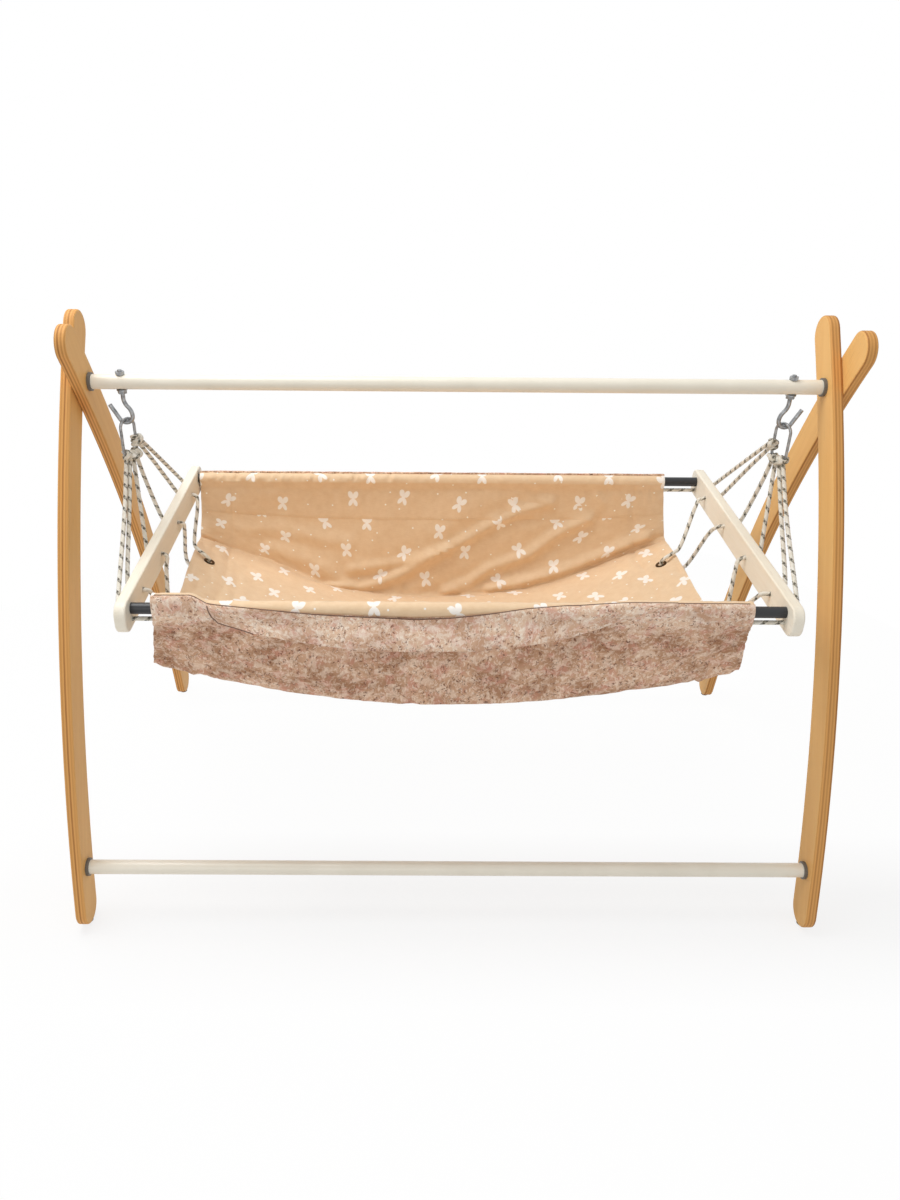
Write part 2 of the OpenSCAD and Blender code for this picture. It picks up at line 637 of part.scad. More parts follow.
// Points given from a middle, with x and y turned to a side and an end
function placed(pts, middle, x, y) = [for (p = pts) middle + [x * p[0], y * p[1], p[2]]];
function loop(side, i) =
    let (end = side > 0 ? 1 : 0, y = i == 0 ? 1 : -1, e = eyelet_at(side, i)[0],
        upper = [side * in_x, y * hole_step_out / 2, spreader_z],
        lower = [side * in_x, y * hole_step_in / 2, spreader_z],
        pts = concat(placed(FROM_HOLE[end], upper, side, y), placed(THREAD[end], e, side, y),
            placed(TO_HOLE[end], lower, side, y)))
    i == 0 ? pts : reversed(pts);

// Route i outside a spreader: its points move with the ring above and with the hole below
function outside(i) =
    let (pts = OUTSIDE[i], top = pts[0][2], low = pts[len(pts) - 1][2],
        up = [hook_x, 0, ring_bottom] - CHOSEN_RING, down = [out_x, hole_y[i], hole_z(i)] - CHOSEN_HOLES[i])
    [for (p = pts) p + mix(down, up, (p[2] - low) / (top - low))];

// A round rope along points, 8 sides, with its rings turned as little as the bends allow
function square_on(tangents, u, k = 0) = k == len(tangents) ? []
    : let (w = unit(u - (u * tangents[k]) * tangents[k])) concat([w], square_on(tangents, w, k + 1));
module sweep(pts) {
    n = len(pts);
    m = 8;
    tangents = [for (k = [0:n - 1]) unit(pts[min(n - 1, k + 1)] - pts[max(0, k - 1)])];
    us = square_on(tangents, [1, 0, 0]);
    rings = [for (k = [0:n - 1]) let (u = us[k], v = cross(tangents[k], u))
        for (j = [0:m - 1]) pts[k] + rope_d / 2 * (u * cos(360 * j / m) + v * sin(360 * j / m))];
    faces = [
        for (k = [0:n - 2], j = [0:m - 1]) let (a = k * m + j, b = k * m + (j + 1) % m)
            each [[a, a + m, b], [b, a + m, b + m]],
        for (j = [1:m - 2]) each [[0, j, j + 1], [(n - 1) * m, (n - 1) * m + j + 1, (n - 1) * m + j]]];
    polyhedron(rings, faces);
}

// An end rope runs on under its tube to the end of the cloth
module end_rope(side, i) {
    y = hole_y[i];
    end = side > 0 ? cloth_right(y) + seat : cloth_left(y) - seat;
    color(rope_colour) sweep(concat(placed(outside(i), [0, 0, 0], side, 1), [[end, y, end_hole_z]]));
}
// A sling leaves a knot, goes through an eyelet and comes back to a knot
module sling(side, i) {
    color(rope_colour) sweep(concat(placed(outside(i), [0, 0, 0], side, 1), loop(side, i == 1 ? 0 : 1),
        placed(reversed(outside(i + 1)), [0, 0, 0], side, 1)));
}
module left_back_end_rope() { end_rope(-1, 0); }
module left_front_end_rope() { end_rope(-1, 5); }
module right_back_end_rope() { end_rope(1, 0); }
module right_front_end_rope() { end_rope(1, 5); }
module left_back_sling() { sling(-1, 1); }
module left_front_sling() { sling(-1, 3); }
module right_back_sling() { sling(1, 1); }
module right_front_sling() { sling(1, 3); }

front_left_leg();
front_right_leg();
rear_left_leg();
rear_right_leg();
top_rod();
front_lower_rod();
rear_lower_rod();
top_rod_plugs();
front_rod_plugs();
rear_rod_plugs();
top_rod_cups();
front_rod_cups();
rear_rod_cups();
left_pivot_bolt();
right_pivot_bolt();
front_rod_bolts();
rear_rod_bolts();
front_glides();
rear_glides();
left_hook();
right_hook();
hook_top_nuts();
hook_flange_nuts();
left_ring();
right_ring();
left_rear_knot();
left_front_knot();
right_rear_knot();
right_front_knot();
left_back_end_rope();
left_back_sling();
left_front_sling();
left_front_end_rope();
right_back_end_rope();
right_back_sling();
right_front_sling();
right_front_end_rope();
left_spreader();
right_spreader();
front_tube();
back_tube();
tube_plugs();
tube_screws();
left_eyelets();
right_eyelets();
lining();
outer_cloth();
front_sleeve();
back_sleeve();
front_facing();
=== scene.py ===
import math
from functools import partial, reduce

import bmesh
import bpy
import numpy as np
from mathutils import Matrix, Vector, noise


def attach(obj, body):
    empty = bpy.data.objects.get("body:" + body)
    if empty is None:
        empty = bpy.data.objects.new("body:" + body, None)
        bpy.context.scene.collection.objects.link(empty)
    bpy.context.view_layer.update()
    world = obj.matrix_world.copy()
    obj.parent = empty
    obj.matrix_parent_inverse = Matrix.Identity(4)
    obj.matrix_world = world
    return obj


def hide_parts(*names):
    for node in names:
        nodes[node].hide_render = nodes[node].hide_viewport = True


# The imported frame: fifty fixed pieces on three bodies, which are the front legs with the rods,
# the rear legs that fold against them, and the hanging cradle. Metres, front at -Y.
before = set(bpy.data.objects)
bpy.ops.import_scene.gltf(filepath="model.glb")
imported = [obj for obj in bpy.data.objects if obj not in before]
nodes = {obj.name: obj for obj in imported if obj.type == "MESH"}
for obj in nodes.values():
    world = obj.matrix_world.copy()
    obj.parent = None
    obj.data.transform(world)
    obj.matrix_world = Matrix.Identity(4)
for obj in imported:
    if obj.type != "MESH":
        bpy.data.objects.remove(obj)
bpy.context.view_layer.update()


def add_object(name, data):
    """Puts a camera, a lamp or a mesh in the scene."""
    made = bpy.data.objects.new(name, data)
    bpy.context.scene.collection.objects.link(made)
    return made


def add_mesh(name, bm):
    """Puts a bmesh in the scene as an object."""
    mesh = bpy.data.meshes.new(name)
    bm.to_mesh(mesh)
    bm.free()
    return add_object(name, mesh)


# The camera: an adult standing in front of the cradle and looking down at it. The lens axis
# lies a little left of the picture's middle, because the picture was cropped.
PICTURE_H = 1200
FOCAL_PX = 962.95
AXIS_LEFT_PX = 34.88
EYE = Vector((-0.0764, -1.5458, 1.2955))
YAW, PITCH, ROLL = 0.0071, 0.5041, 0.01
SENSOR = 36

ahead = Vector((math.sin(YAW) * math.cos(PITCH), math.cos(YAW) * math.cos(PITCH), -math.sin(PITCH)))
level = Vector((math.cos(YAW), -math.sin(YAW), 0))
raised = level.cross(ahead)
right = math.cos(ROLL) * level + math.sin(ROLL) * raised
up = math.cos(ROLL) * raised - math.sin(ROLL) * level
lens = bpy.data.cameras.new("camera")
lens.sensor_width = SENSOR
lens.lens = FOCAL_PX / PICTURE_H * SENSOR
lens.shift_x = AXIS_LEFT_PX / PICTURE_H
lens.clip_start = 0.05
camera = add_object("camera", lens)
camera.matrix_world = Matrix.Translation(EYE) @ Matrix((right, up, -ahead)).transposed().to_4x4()
bpy.context.scene.camera = camera
bpy.context.scene.view_settings.view_transform = "Standard"


# The studio: a pale floor that keeps a faint shadow, a white world, one wide soft lamp overhead
# and a weak one from the front.
def rgb(red, green, blue):
    """A colour given as a screen shows it, 0 to 255, as the linear colour that a shader takes."""
    part = [c / 255 for c in (red, green, blue)]
    return tuple(c / 12.92 if c <= 0.04045 else ((c + 0.055) / 1.055) ** 2.4 for c in part) + (1,)


def feed(made, inputs):
    """Sets a node's inputs. Each is a number, a colour or the socket that feeds it."""
    for key, value in inputs.items():
        if isinstance(value, bpy.types.NodeSocket):
            made.id_data.links.new(value, made.inputs[key])
        else:
            made.inputs[key].default_value = value


def node(kind, inputs=(), tree=None, **settings):
    """A new shader node, in the tree of the sockets that feed it unless a tree is given."""
    inputs = dict(inputs)
    if tree is None:
        tree = next(v.id_data for v in inputs.values() if isinstance(v, bpy.types.NodeSocket))
    made = tree.nodes.new("ShaderNode" + kind)
    for key, value in settings.items():
        setattr(made, key, value)
    feed(made, inputs)
    return made


def maths(operation, a, b=0, c=0):
    """One step of arithmetic on sockets or numbers."""
    return node("Math", {0: a, 1: b, 2: c}, operation=operation).outputs[0]


plus, minus = partial(maths, "ADD"), partial(maths, "SUBTRACT")
times, times_plus = partial(maths, "MULTIPLY"), partial(maths, "MULTIPLY_ADD")


def vector_maths(operation, a, b=(0, 0, 0)):
    """One step of arithmetic on places. The length of one is a number."""
    made = node("VectorMath", {0: a, 1: b}, operation=operation)
    return made.outputs["Value" if operation == "LENGTH" else 0]


def joined(*parts):
    """A place from its coordinates."""
    return node("CombineXYZ", dict(enumerate(parts))).outputs[0]


def axis(vector, k):
    """A place's coordinate along an axis, 0 to 2."""
    return node("SeparateXYZ", {0: vector}).outputs[k]


def ranged(value, low, high, to_low=0, to_high=1):
    """Maps low..high to to_low..to_high, held at both ends."""
    return node("MapRange", {0: value, 1: low, 2: high, 3: to_low, 4: to_high}).outputs[0]


def own_place(tree):
    """Where a point lies in its object, in metres."""
    return node("TexCoord", tree=tree).outputs["Object"]


def looked_at(tree, *rays):
    """1 where one of these rays meets the surface, such as the camera's own."""
    path = node("LightPath", tree=tree)
    return reduce(partial(maths, "MAXIMUM"), [path.outputs[f"Is {ray} Ray"] for ray in rays])


WORLD_STRENGTH = 0.52
FLOOR_SIZE = 14
FLOOR_WHITE, SHADOW_WHITE, SHADOW_Y = 0.965, 0.8, -0.33
LAMPS = {"overhead": ((-0.9, 0.2, 2.6), (0, 0, 0.45), 1.6, 40),
         "front": ((-0.6, -3.2, 1.6), (0, 0, 0.5), 1.8, 12)}

world = bpy.data.worlds.new("studio")
world.use_nodes = True
tree = world.node_tree
tree.nodes.clear()
dim = node("Background", {"Color": (1, 1, 1, 1), "Strength": WORLD_STRENGTH}, tree)
bright = node("Background", {"Color": (1, 1, 1, 1), "Strength": 1}, tree)
seen = looked_at(tree, "Camera", "Glossy")
sky = node("MixShader", {0: seen, 1: dim.outputs[0], 2: bright.outputs[0]})
node("OutputWorld", {"Surface": sky.outputs[0]})
bpy.context.scene.world = world

for name, (place, aim, size, power) in LAMPS.items():
    lamp = bpy.data.lights.new(name, "AREA")
    lamp.size, lamp.energy = size, power
    stand = add_object(name, lamp)
    stand.location = place
    stand.rotation_euler = (Vector(aim) - Vector(place)).to_track_quat("-Z", "Y").to_euler()

bm = bmesh.new()
bmesh.ops.create_grid(bm, x_segments=1, y_segments=1, size=FLOOR_SIZE / 2)
floor = add_mesh("floor", bm)
floor_paint = bpy.data.materials.new("floor")
floor_paint.use_nodes = True
tree = floor_paint.node_tree
tree.nodes.clear()
matt = node("BsdfDiffuse", {"Color": (0.92, 0.92, 0.92, 1)}, tree)
# A shadow shows only near the front feet, and the floor has no edge in the picture
spot = own_place(tree)
beside = maths("ABSOLUTE", minus(axis(spot, 1), SHADOW_Y))
near = ranged(beside, 0.05, 0.2, SHADOW_WHITE, FLOOR_WHITE)
far = ranged(vector_maths("LENGTH", spot), 0.75, 1.4)
white = node("Emission", {"Color": (1, 1, 1, 1), "Strength": 1}, tree)
whiter = times(looked_at(tree, "Camera", "Glossy", "Transmission"), maths("MAXIMUM", near, far))
shown = node("MixShader", {0: whiter, 1: matt.outputs[0], 2: white.outputs[0]})
node("OutputMaterial", {"Surface": shown.outputs[0]})
floor.data.materials.append(floor_paint)


# The legs: four bowed boards of 18 mm birch plywood, cut on a router and rounded along their
# edges, satin lacquered. A front and a rear board cross at each end and turn on one bolt.
def lacquer(name, roughness, **constants):
    """A material with one Principled shader. Returns it, its tree and the shader."""
    made = bpy.data.materials.new(name)
    made.use_nodes = True
    shader = made.node_tree.nodes["Principled BSDF"]
    feed(shader, {"Roughness": roughness} | {k.replace("_", " "): v for k, v in constants.items()})
    return made, made.node_tree, shader


def dress(material, *names):
    """Gives CAD pieces their finish."""
    for each in names:
        nodes[each].data.materials[0] = material


def bump(shader, height, depth, strength=1):
    """Feeds a height, 0 to 1 for a real depth in metres, to the shader's normal."""
    relief = node("Bump", {"Height": height, "Distance": depth, "Strength": strength})
    feed(shader, {"Normal": relief.outputs[0]})


def new_group(name, inputs, outputs):
    """A shader node group with named sockets and their kinds. Returns it and its input node."""
    group = bpy.data.node_groups.new(name, "ShaderNodeTree")
    for way, sockets in (("INPUT", inputs), ("OUTPUT", outputs)):
        for label, kind in sockets.items():
            group.interface.new_socket(label, in_out=way, socket_type="NodeSocket" + kind)
    return group, group.nodes.new("NodeGroupInput")


def noise_of(vector, scale, detail=4, roughness=0.55, distortion=0):
    """Fractal noise, 0 to 1."""
    return node("TexNoise", {"Vector": vector, "Scale": scale, "Detail": detail,
                             "Roughness": roughness, "Distortion": distortion}).outputs[0]


def mixed(factor, a, b):
    """Two colours mixed."""
    return node("Mix", {0: factor, 6: a, 7: b}, data_type="RGBA").outputs[2]


def scaled(vector, *scale):
    """A place, scaled along each axis."""
    return node("Mapping", {"Vector": vector, "Scale": scale}).outputs[0]


def grouped(group, **values):
    """A group as a node, with its inputs."""
    return node("Group", values, node_tree=group)


# Grain of a wooden board that runs along the vector's Z: long streaks, a slow figure and pores
grain, g_in = new_group(
    "wood grain", {"Vector": "Vector", "Light": "Color", "Dark": "Color", "Figure": "Float"},
    {"Color": "Color", "Height": "Float"})
board, light, dark, figured = g_in.outputs[:4]
streaks = noise_of(scaled(board, 60, 60, 2.2), 1, 6, 0.62)
figure = noise_of(scaled(board, 9, 9, 1.1), 1.6, 3, 0.5, 1.4)
pores = ranged(noise_of(scaled(board, 520, 520, 26), 1, 2), 0.62, 0.74)
tone = ranged(times_plus(figure, figured, times(streaks, 0.55)), 0.32, 0.82)
pored = mixed(times(pores, 0.16), mixed(tone, light, dark), rgb(120, 78, 42))
feed(grain.nodes.new("NodeGroupOutput"), {"Color": pored, "Height": times_plus(pores, -0.7, streaks)})

PLY_FACE = (rgb(235, 187, 117), rgb(221, 167, 97))
PLY_EDGE = (rgb(220, 163, 95), rgb(150, 92, 45))
VENEER_T = 0.0026
LEG_LEAN = math.radians(27)

for side, lean in (("front", LEG_LEAN), ("rear", -LEG_LEAN)):
    plywood, tree, shader = lacquer(side + "_plywood", 0.5, Coat_Weight=0.02, Specular_IOR_Level=0.2)
    place = own_place(tree)
    laid = {"Vector": place, "Rotation": (lean, 0, 0), "Location": (0.3, lean, 0)}
    along = node("Mapping", laid).outputs[0]
    face = grouped(grain, Vector=along, Light=PLY_FACE[0], Dark=PLY_FACE[1], Figure=0.5)
    # Veneers show on the edges as stripes across the board's thickness, light and dark by turns
    depth = plus(axis(place, 0), times(noise_of(along, 34, 2), 0.0007))
    stripe = maths("PINGPONG", plus(depth, 0.9), VENEER_T)
    end_grain = noise_of(scaled(along, 900, 60, 16), 1, 4)
    ply = joined(maths("FLOOR", maths("DIVIDE", depth, 2 * VENEER_T)))
    lot = node("TexWhiteNoise", {0: ply}).outputs["Value"]
    stripe = times(ranged(stripe, VENEER_T * 0.3, VENEER_T * 0.7), ranged(end_grain, 0.3, 0.75, 0.95, 0.5))
    edge = mixed(times(stripe, ranged(lot, 0, 1, 0.35, 1)), *PLY_EDGE)
    across = axis(node("NewGeometry", tree=tree).outputs["Normal"], 0)
    on_face = ranged(maths("ABSOLUTE", across), 0.72, 0.93)
    feed(shader, {"Base Color": mixed(on_face, edge, face.outputs["Color"]),
                  "Roughness": ranged(on_face, 0, 1, 0.64, 0.5)})
    bump(shader, face.outputs["Height"], 0.0002, 0.5)
    dress(plywood, side + "_left_leg", side + "_right_leg")


# The rods: 24 mm steel tube, powder coated ivory, held between the boards by bolts in pressed-in
# threaded plugs, with a grey plastic cup around each end.
DUSTED = (0.93, 0.925, 0.91, 1)


def coated(name, colour, roughness, grit, depth, **constants):
    """Powder coat or moulded plastic: an even colour with a fine peel and a little dust."""
    made, tree, shader = lacquer(name, roughness, **constants)
    place = own_place(tree)
    dust = ranged(noise_of(place, 14, 5, 0.6), 0.35, 0.75)
    dull = np.multiply(colour, DUSTED)
    feed(shader, {"Base Color": mixed(dust, colour, dull),
                  "Roughness": ranged(dust, 0, 1, roughness - 0.04, roughness + 0.07)})
    bump(shader, noise_of(place, grit, 3, 0.5), depth, 0.6)
    return made


def metal(name, bright_colour, dull_colour, roughness, spots, metallic=1):
    """Plated or bare steel: mottled tone, fine drawing marks and a rougher patina in places."""
    made, tree, shader = lacquer(name, roughness, Metallic=metallic)
    place = own_place(tree)
    patina = ranged(noise_of(place, spots, 5, 0.65), 0.35, 0.7)
    feed(shader, {"Base Color": mixed(patina, bright_colour, dull_colour),
                  "Roughness": ranged(patina, 0, 1, roughness - 0.08, roughness + 0.12)})
    bump(shader, noise_of(scaled(place, 900, 900, 60), 1, 2), 0.0001, 0.35)
    return made


dress(coated("ivory_powder_coat", rgb(239, 232, 216), 0.34, 700, 0.00012, Coat_Weight=0.15),
      "top_rod", "front_lower_rod", "rear_lower_rod")
dress(coated("cup_grey_plastic", rgb(108, 104, 97), 0.5, 900, 0.0001),
      "top_rod_cups", "front_rod_cups", "rear_rod_cups")
dress(metal("zinc_plate", rgb(196, 196, 192), rgb(150, 149, 143), 0.36, 160),
      "top_rod_plugs", "front_rod_plugs", "rear_rod_plugs")
dress(metal("bolt_zinc", rgb(205, 204, 198), rgb(160, 157, 148), 0.3, 220),
      "left_pivot_bolt", "right_pivot_bolt", "front_rod_bolts", "rear_rod_bolts")

# The glides: nylon buttons driven into the feet, a few millimetres proud of the plywood.
dress(coated("glide_nylon", rgb(52, 50, 48), 0.55, 500, 0.0002), "front_glides", "rear_glides")

# The hooks, nuts and rings: galvanised wire, bent cold. The thread passes through the rod and
# takes a nut above it and a flanged one below.
dress(metal("galvanised_wire", rgb(176, 178, 180), rgb(118, 120, 122), 0.4, 130, 0.85),
      "left_hook", "right_hook", "left_ring", "right_ring", "hook_top_nuts", "hook_flange_nuts")

# The cradle's tubes: black powder-coated steel, 18 mm, screwed through the spreaders into plugs.
dress(coated("tube_black", rgb(38, 39, 42), 0.36, 800, 0.0001), "front_tube", "back_tube")
dress(coated("plug_black", rgb(46, 46, 46), 0.5, 600, 0.0001), "tube_plugs")
dress(metal("screw_steel", rgb(150, 148, 142), rgb(92, 90, 86), 0.35, 260), "tube_screws")

# The spreaders: planed boards of pale wood with round ends, and six holes for the ropes.
PALE_WOOD = (rgb(245, 238, 222), rgb(232, 219, 195))
spreader_wood, tree, shader = lacquer("spreader_wood", 0.5, Coat_Weight=0.06, Coat_Roughness=0.35)
turned = node("Mapping", {"Vector": own_place(tree), "Rotation": (math.radians(90), 0, 0)}).outputs[0]
pale = grouped(grain, Vector=turned, Light=PALE_WOOD[0], Dark=PALE_WOOD[1], Figure=0.45)
feed(shader, {"Base Color": pale.outputs["Color"]})
bump(shader, pale.outputs["Height"], 0.0002, 0.5)
dress(spreader_wood, "left_spreader", "right_spreader")


# The lining: padded cotton with a print of small bows and dots, hung between the tubes as a
# trough. It is hemmed 60 mm in from its ends, and sewn along the floor's two sides.
TUBE_Y, TUBE_Z = 0.266, 0.572
CLOTH_TOP = TUBE_Z - 0.0126
LINING_H, LINING_T = 0.0026, 0.0048
FLOOR_BACK, FLOOR_FRONT, LAST = 3, 9, 12   # rows down the section, from the back tube's
CLOTH_W, HALF_CUT, ROW_CUT = 0.93, 0.46, 0.08
HEM_IN = 0.131   # the end hems, as a share of half the width


def blend(a, b, share):
    return a + (b - a) * share


def smooth(x, low, high):
    """0 below low, 1 above high, with an easy slope between."""
    share = np.clip((x - low) / (high - low), 0, 1)
    return share * share * (3 - 2 * share)


BACK_SAG = (0.022, 0.015)
FRONT_SAG, RIGHT_SAG = 0.011, 0.009


def sections(s):
    """The trough's cross section at s, -1 at the left end to 1: depth and height of 13 points."""
    belly = 1 - s * s
    sag = smooth(s, -0.74, -0.42) * smooth(-s, -0.92, -0.35)
    front = TUBE_Z - 0.092 - 0.078 * belly
    back = TUBE_Z - 0.122 - 0.105 * belly
    base = (front + back) / 2 - 0.025 * belly + 0.005 * s * s
    one = np.ones_like(s)
    y = [TUBE_Y, TUBE_Y - 0.002, TUBE_Y - 0.007, TUBE_Y - 0.017, TUBE_Y - 0.06, TUBE_Y * 0.38, 0]
    y = np.array([v * one for v in y + [-v for v in y[-2::-1]]])
    half = [[CLOTH_TOP * one, blend(CLOTH_TOP, seam, 0.35), blend(CLOTH_TOP, seam, 0.75), seam,
             blend(seam, base, 0.28) - 0.006 * belly, blend(seam, base, 0.8) - 0.003 * belly]
            for seam in (back, front)]
    z = np.array(half[0] + [base] + half[1][::-1])
    # The back panel's weight draws its lower seam to the front
    for k, share in ((1, 0.15), (2, 0.6), (3, 1), (4, 0.5)):
        y[k] -= BACK_SAG[0] * share * sag
        z[k] -= BACK_SAG[1] * share * sag
    # The front panel hangs a little lower than its straight cut, most at its right end
    for k, share in ((8, 0.4), (9, 1), (10, 0.75), (11, 0.3)):
        z[k] -= share * (FRONT_SAG + RIGHT_SAG * smooth(s, 0.45, 1))
    return y, z


def spline(p, t):
    """Smooth curve through the rows of p, one curve per column, at t in rows."""
    i = np.clip(np.floor(t).astype(int), 0, len(p) - 2)
    f, k = t - i, np.arange(p.shape[1])
    a, b = p[np.clip(i - 1, 0, None), k], p[i, k]
    c, d = p[i + 1, k], p[np.clip(i + 2, None, len(p) - 1), k]
    return 0.5 * (2 * b + (c - a) * f + (2 * a - 5 * b + 4 * c - d) * f**2 + (3 * b - a - 3 * c + d) * f**3)


# How far the slings draw the cloth's left and right ends out: place down the section,
# from the back tube to the front one, and the reach of each end
END_WAY = [(0, 0, 0), (1.5, 0.005, 0.008), (3, 0.01, 0.0155), (4.5, 0.01, 0.01), (6, 0.007, 0.003),
           (7.5, 0.009, 0.001), (9, 0.014, 0.003), (10.5, 0.008, 0.002), (12, 0, 0)]


def cloth_ends(y, t):
    """X of the cloth's left and right ends at a depth y."""
    share = y / (2 * TUBE_Y) + 0.5
    places, left, right_end = zip(*END_WAY)
    return (blend(-0.466, -0.496, share) - np.interp(t, places, left),
            blend(0.448, 0.434, share) + np.interp(t, places, right_end))


def smooth_cloth(s, t):
    """The unfolded cloth's middle surface."""
    y, z = (spline(p, t) for p in sections(s))
    left, right_end = cloth_ends(y, t)
    return np.stack([blend(left, right_end, (s + 1) / 2), y, z], axis=1)


def unit(v):
    return v / np.maximum(np.linalg.norm(v, axis=1, keepdims=True), 1e-9)


def run_along(line):
    """How far each point of a line lies along it."""
    return np.concatenate([[0], np.cumsum(np.linalg.norm(np.diff(line, axis=0), axis=1))])


def read_off(line, run, at):
    """The line's coordinates at a run."""
    return np.array([np.interp(at, run, column) for column in line.T])


def inward(s, t, step=0.02):
    """Direction square to the smooth cloth, towards the inside of the trough."""
    along_s = smooth_cloth(np.clip(s + step, -1, 1), t) - smooth_cloth(np.clip(s - step, -1, 1), t)
    along_t = smooth_cloth(s, np.clip(t - step, 0, LAST)) - smooth_cloth(s, np.clip(t + step, 0, LAST))
    return unit(np.cross(along_s, along_t))


def rumple(x, y, size, seed=0, octaves=3):
    """Soft random waves, about -1 to 1, over arrays of points."""
    return np.array([noise.fractal(Vector((a / size, b / size, seed)), 0.7, 2, octaves)
                     for a, b in zip(x, y)])


def main_folds(s, t):
    """Long waves that both layers share: over the back, along the floor and along the front."""
    back = 0.005 * np.sin(np.pi * t / 3) * np.sin(2 * np.pi * (0.9 * s + 0.22 * t)) * (1 - s * s)
    base = 0.004 * np.sin(np.pi * (t - 3) / 6) * np.sin(np.radians(500) * s) * (1 - s * s)
    front = 0.005 * np.sin(np.pi * (t - 9) / 3) * np.cos(np.radians(300) * s)
    return np.where(t < 3, back, np.where(t > 9, front, base))


# Folds that the slings draw across the back panel: half width, height, and the crest's
# way as x and height over the floor
CRESTS = [
    (0.011, 0.015, [(-0.24, 0.345), (-0.18, 0.343), (-0.13, 0.358), (-0.08, 0.381), (-0.03, 0.411),
                     (0.024, 0.439), (0.09, 0.479), (0.15, 0.509), (0.21, 0.529)]),
    (0.011, 0.015, [(0, 0.338), (0.05, 0.357), (0.09, 0.386), (0.17, 0.416), (0.23, 0.463),
                     (0.29, 0.493)]),
    (0.011, 0.0125, [(0.09, 0.343), (0.17, 0.362), (0.25, 0.384), (0.33, 0.42), (0.41, 0.455)]),
    (0.01, 0.0085, [(-0.2, 0.381), (-0.08, 0.401), (0, 0.43)]),
    (0.016, 0.006, [(-0.49, 0.47), (-0.335, 0.462), (-0.2, 0.44)]),
    (0.015, 0.006, [(-0.36, 0.425), (-0.27, 0.395), (-0.2, 0.352)]),
    (0.008, 0.0045, [(0.3, 0.548), (0.315, 0.525), (0.3, 0.505)])]


def crest_height(x, z):
    """Height of the drawn folds over points of the back panel."""
    total = 0 * x
    for half_w, height, way in CRESTS:
        away = np.full_like(x, 1)
        for (ax, az), (bx, bz) in zip(way, way[1:]):
            run_x, run_z = bx - ax, bz - az
            f = np.clip(((x - ax) * run_x + (z - az) * run_z) / (run_x ** 2 + run_z ** 2), 0, 1)
            away = np.minimum(away, np.hypot(x - ax - f * run_x, z - az - f * run_z))
        # A valley lies along each side of a crest
        valley = 0.35 * np.exp(-(away / (2.4 * half_w)) ** 2)
        total = total + height * (np.exp(-(away / half_w) ** 2) - valley)
    return total


def eyelet_middle(side, back):
    """The middle of one eyelet, from the frame."""
    name = "right_eyelets" if side > 0 else "left_eyelets"
    points = [v.co for v in nodes[name].data.vertices if v.co.y * back > 0]
    return Vector([(min(p[k] for p in points) + max(p[k] for p in points)) / 2 for k in range(3)])


EYELETS = [eyelet_middle(side, back) for side in (-1, 1) for back in (-1, 1)]


def hem_row(s):
    """Where the sleeve's straight hem lies down the section."""
    return 0.88 + 0.45 * s * s


def creases(s, t):
    """Finer folds: a fan over the back panel, gathers under the sleeves and puckers at the seams."""
    on_back = smooth(3.05 - t, 0, 0.35) * smooth(t, 0.05, 0.8)
    fan = np.arctan2(3.3 - t, (s + 0.32) * 2.1)
    reach = np.hypot(3.3 - t, (s + 0.32) * 2.1)
    ridges = np.sin(17 * fan + 0.9 * np.sin(5 * fan)) * smooth(reach, 0.15, 1.2) * smooth(2.3 - fan, 0, 0.8)
    ridges = np.sign(ridges) * np.abs(ridges) ** 1.4
    fold = 0.002 * ridges * on_back * smooth(s, -0.7, 0.1)
    place = smooth_cloth(s, t)
    fold += crest_height(place[:, 0], place[:, 2]) * smooth(3.3 - t, 0, 0.5) * smooth(t, 0, 0.5)
    fold += 0.0035 * np.sin(2.2 * t + 5 * s) * on_back * smooth(-s, 0.1, 0.8)
    x, depth = s * HALF_CUT, t * ROW_CUT
    fold += 0.0016 * rumple(x, depth, 0.045, 3) * smooth(t, 0, 0.6) * smooth(LAST - t, 0, 0.6)
    # The end hems, a double layer 60 mm wide, and gathers where the slings pull
    fold -= 0.0034 * np.exp(-((np.abs(s) - (1 - HEM_IN)) / 0.012) ** 2)
    pulled = smooth(np.abs(s), 0.72, 0.9) * smooth(t, 3, 4)
    fold += 0.0035 * rumple(x * 2.2, depth * 0.6, 0.03, 61, 2) * pulled
    top = np.minimum(t, LAST - t)
    fold += 0.0022 * rumple(x, depth * 0.25, 0.016, 8, 2) * smooth(1.2 - top, 0, 1.1) * smooth(top, 0, 0.2)
    for seam, pucker in ((FLOOR_BACK, 0.0022), (FLOOR_FRONT, 0.0007)):
        near = np.exp(-((t - seam) / 0.22) ** 2)
        fold -= 0.0022 * near
        fold += pucker * rumple(x, depth * 0.3, 0.02, 12.0 + seam, 2) * np.exp(-((t - seam) / 0.6) ** 2)
    # The cloth lies flat under the eyelets' rims
    away = np.min([np.hypot(place[:, 0] - e.x, place[:, 1] - e.y) for e in EYELETS], axis=0)
    return fold * smooth(away, 0.012, 0.03)


def rolls(s, t):
    """Slack rolls and dents of the front panel."""
    on_front = smooth(t, 9.1, 9.9) * smooth(12.1 - t, 0, 0.5)
    x, depth = s * HALF_CUT, t * ROW_CUT
    dents = 0.002 * rumple(x, depth * 2, 0.022, 25)
    return on_front * (0.005 * rumple(x, depth * 1.6, 0.075, 21) + dents)


def cloth_point(s, t, height):
    """Points at a height over the folded cloth, towards the inside of the trough."""
    lift = height + main_folds(s, t) + creases(s, t) + rolls(s, t)
    return smooth_cloth(s, t) + np.reshape(lift, (-1, 1)) * inward(s, t)


SEAM_T = np.linspace(0, LAST, 241)
RUN = run_along(smooth_cloth(np.zeros(241), SEAM_T))


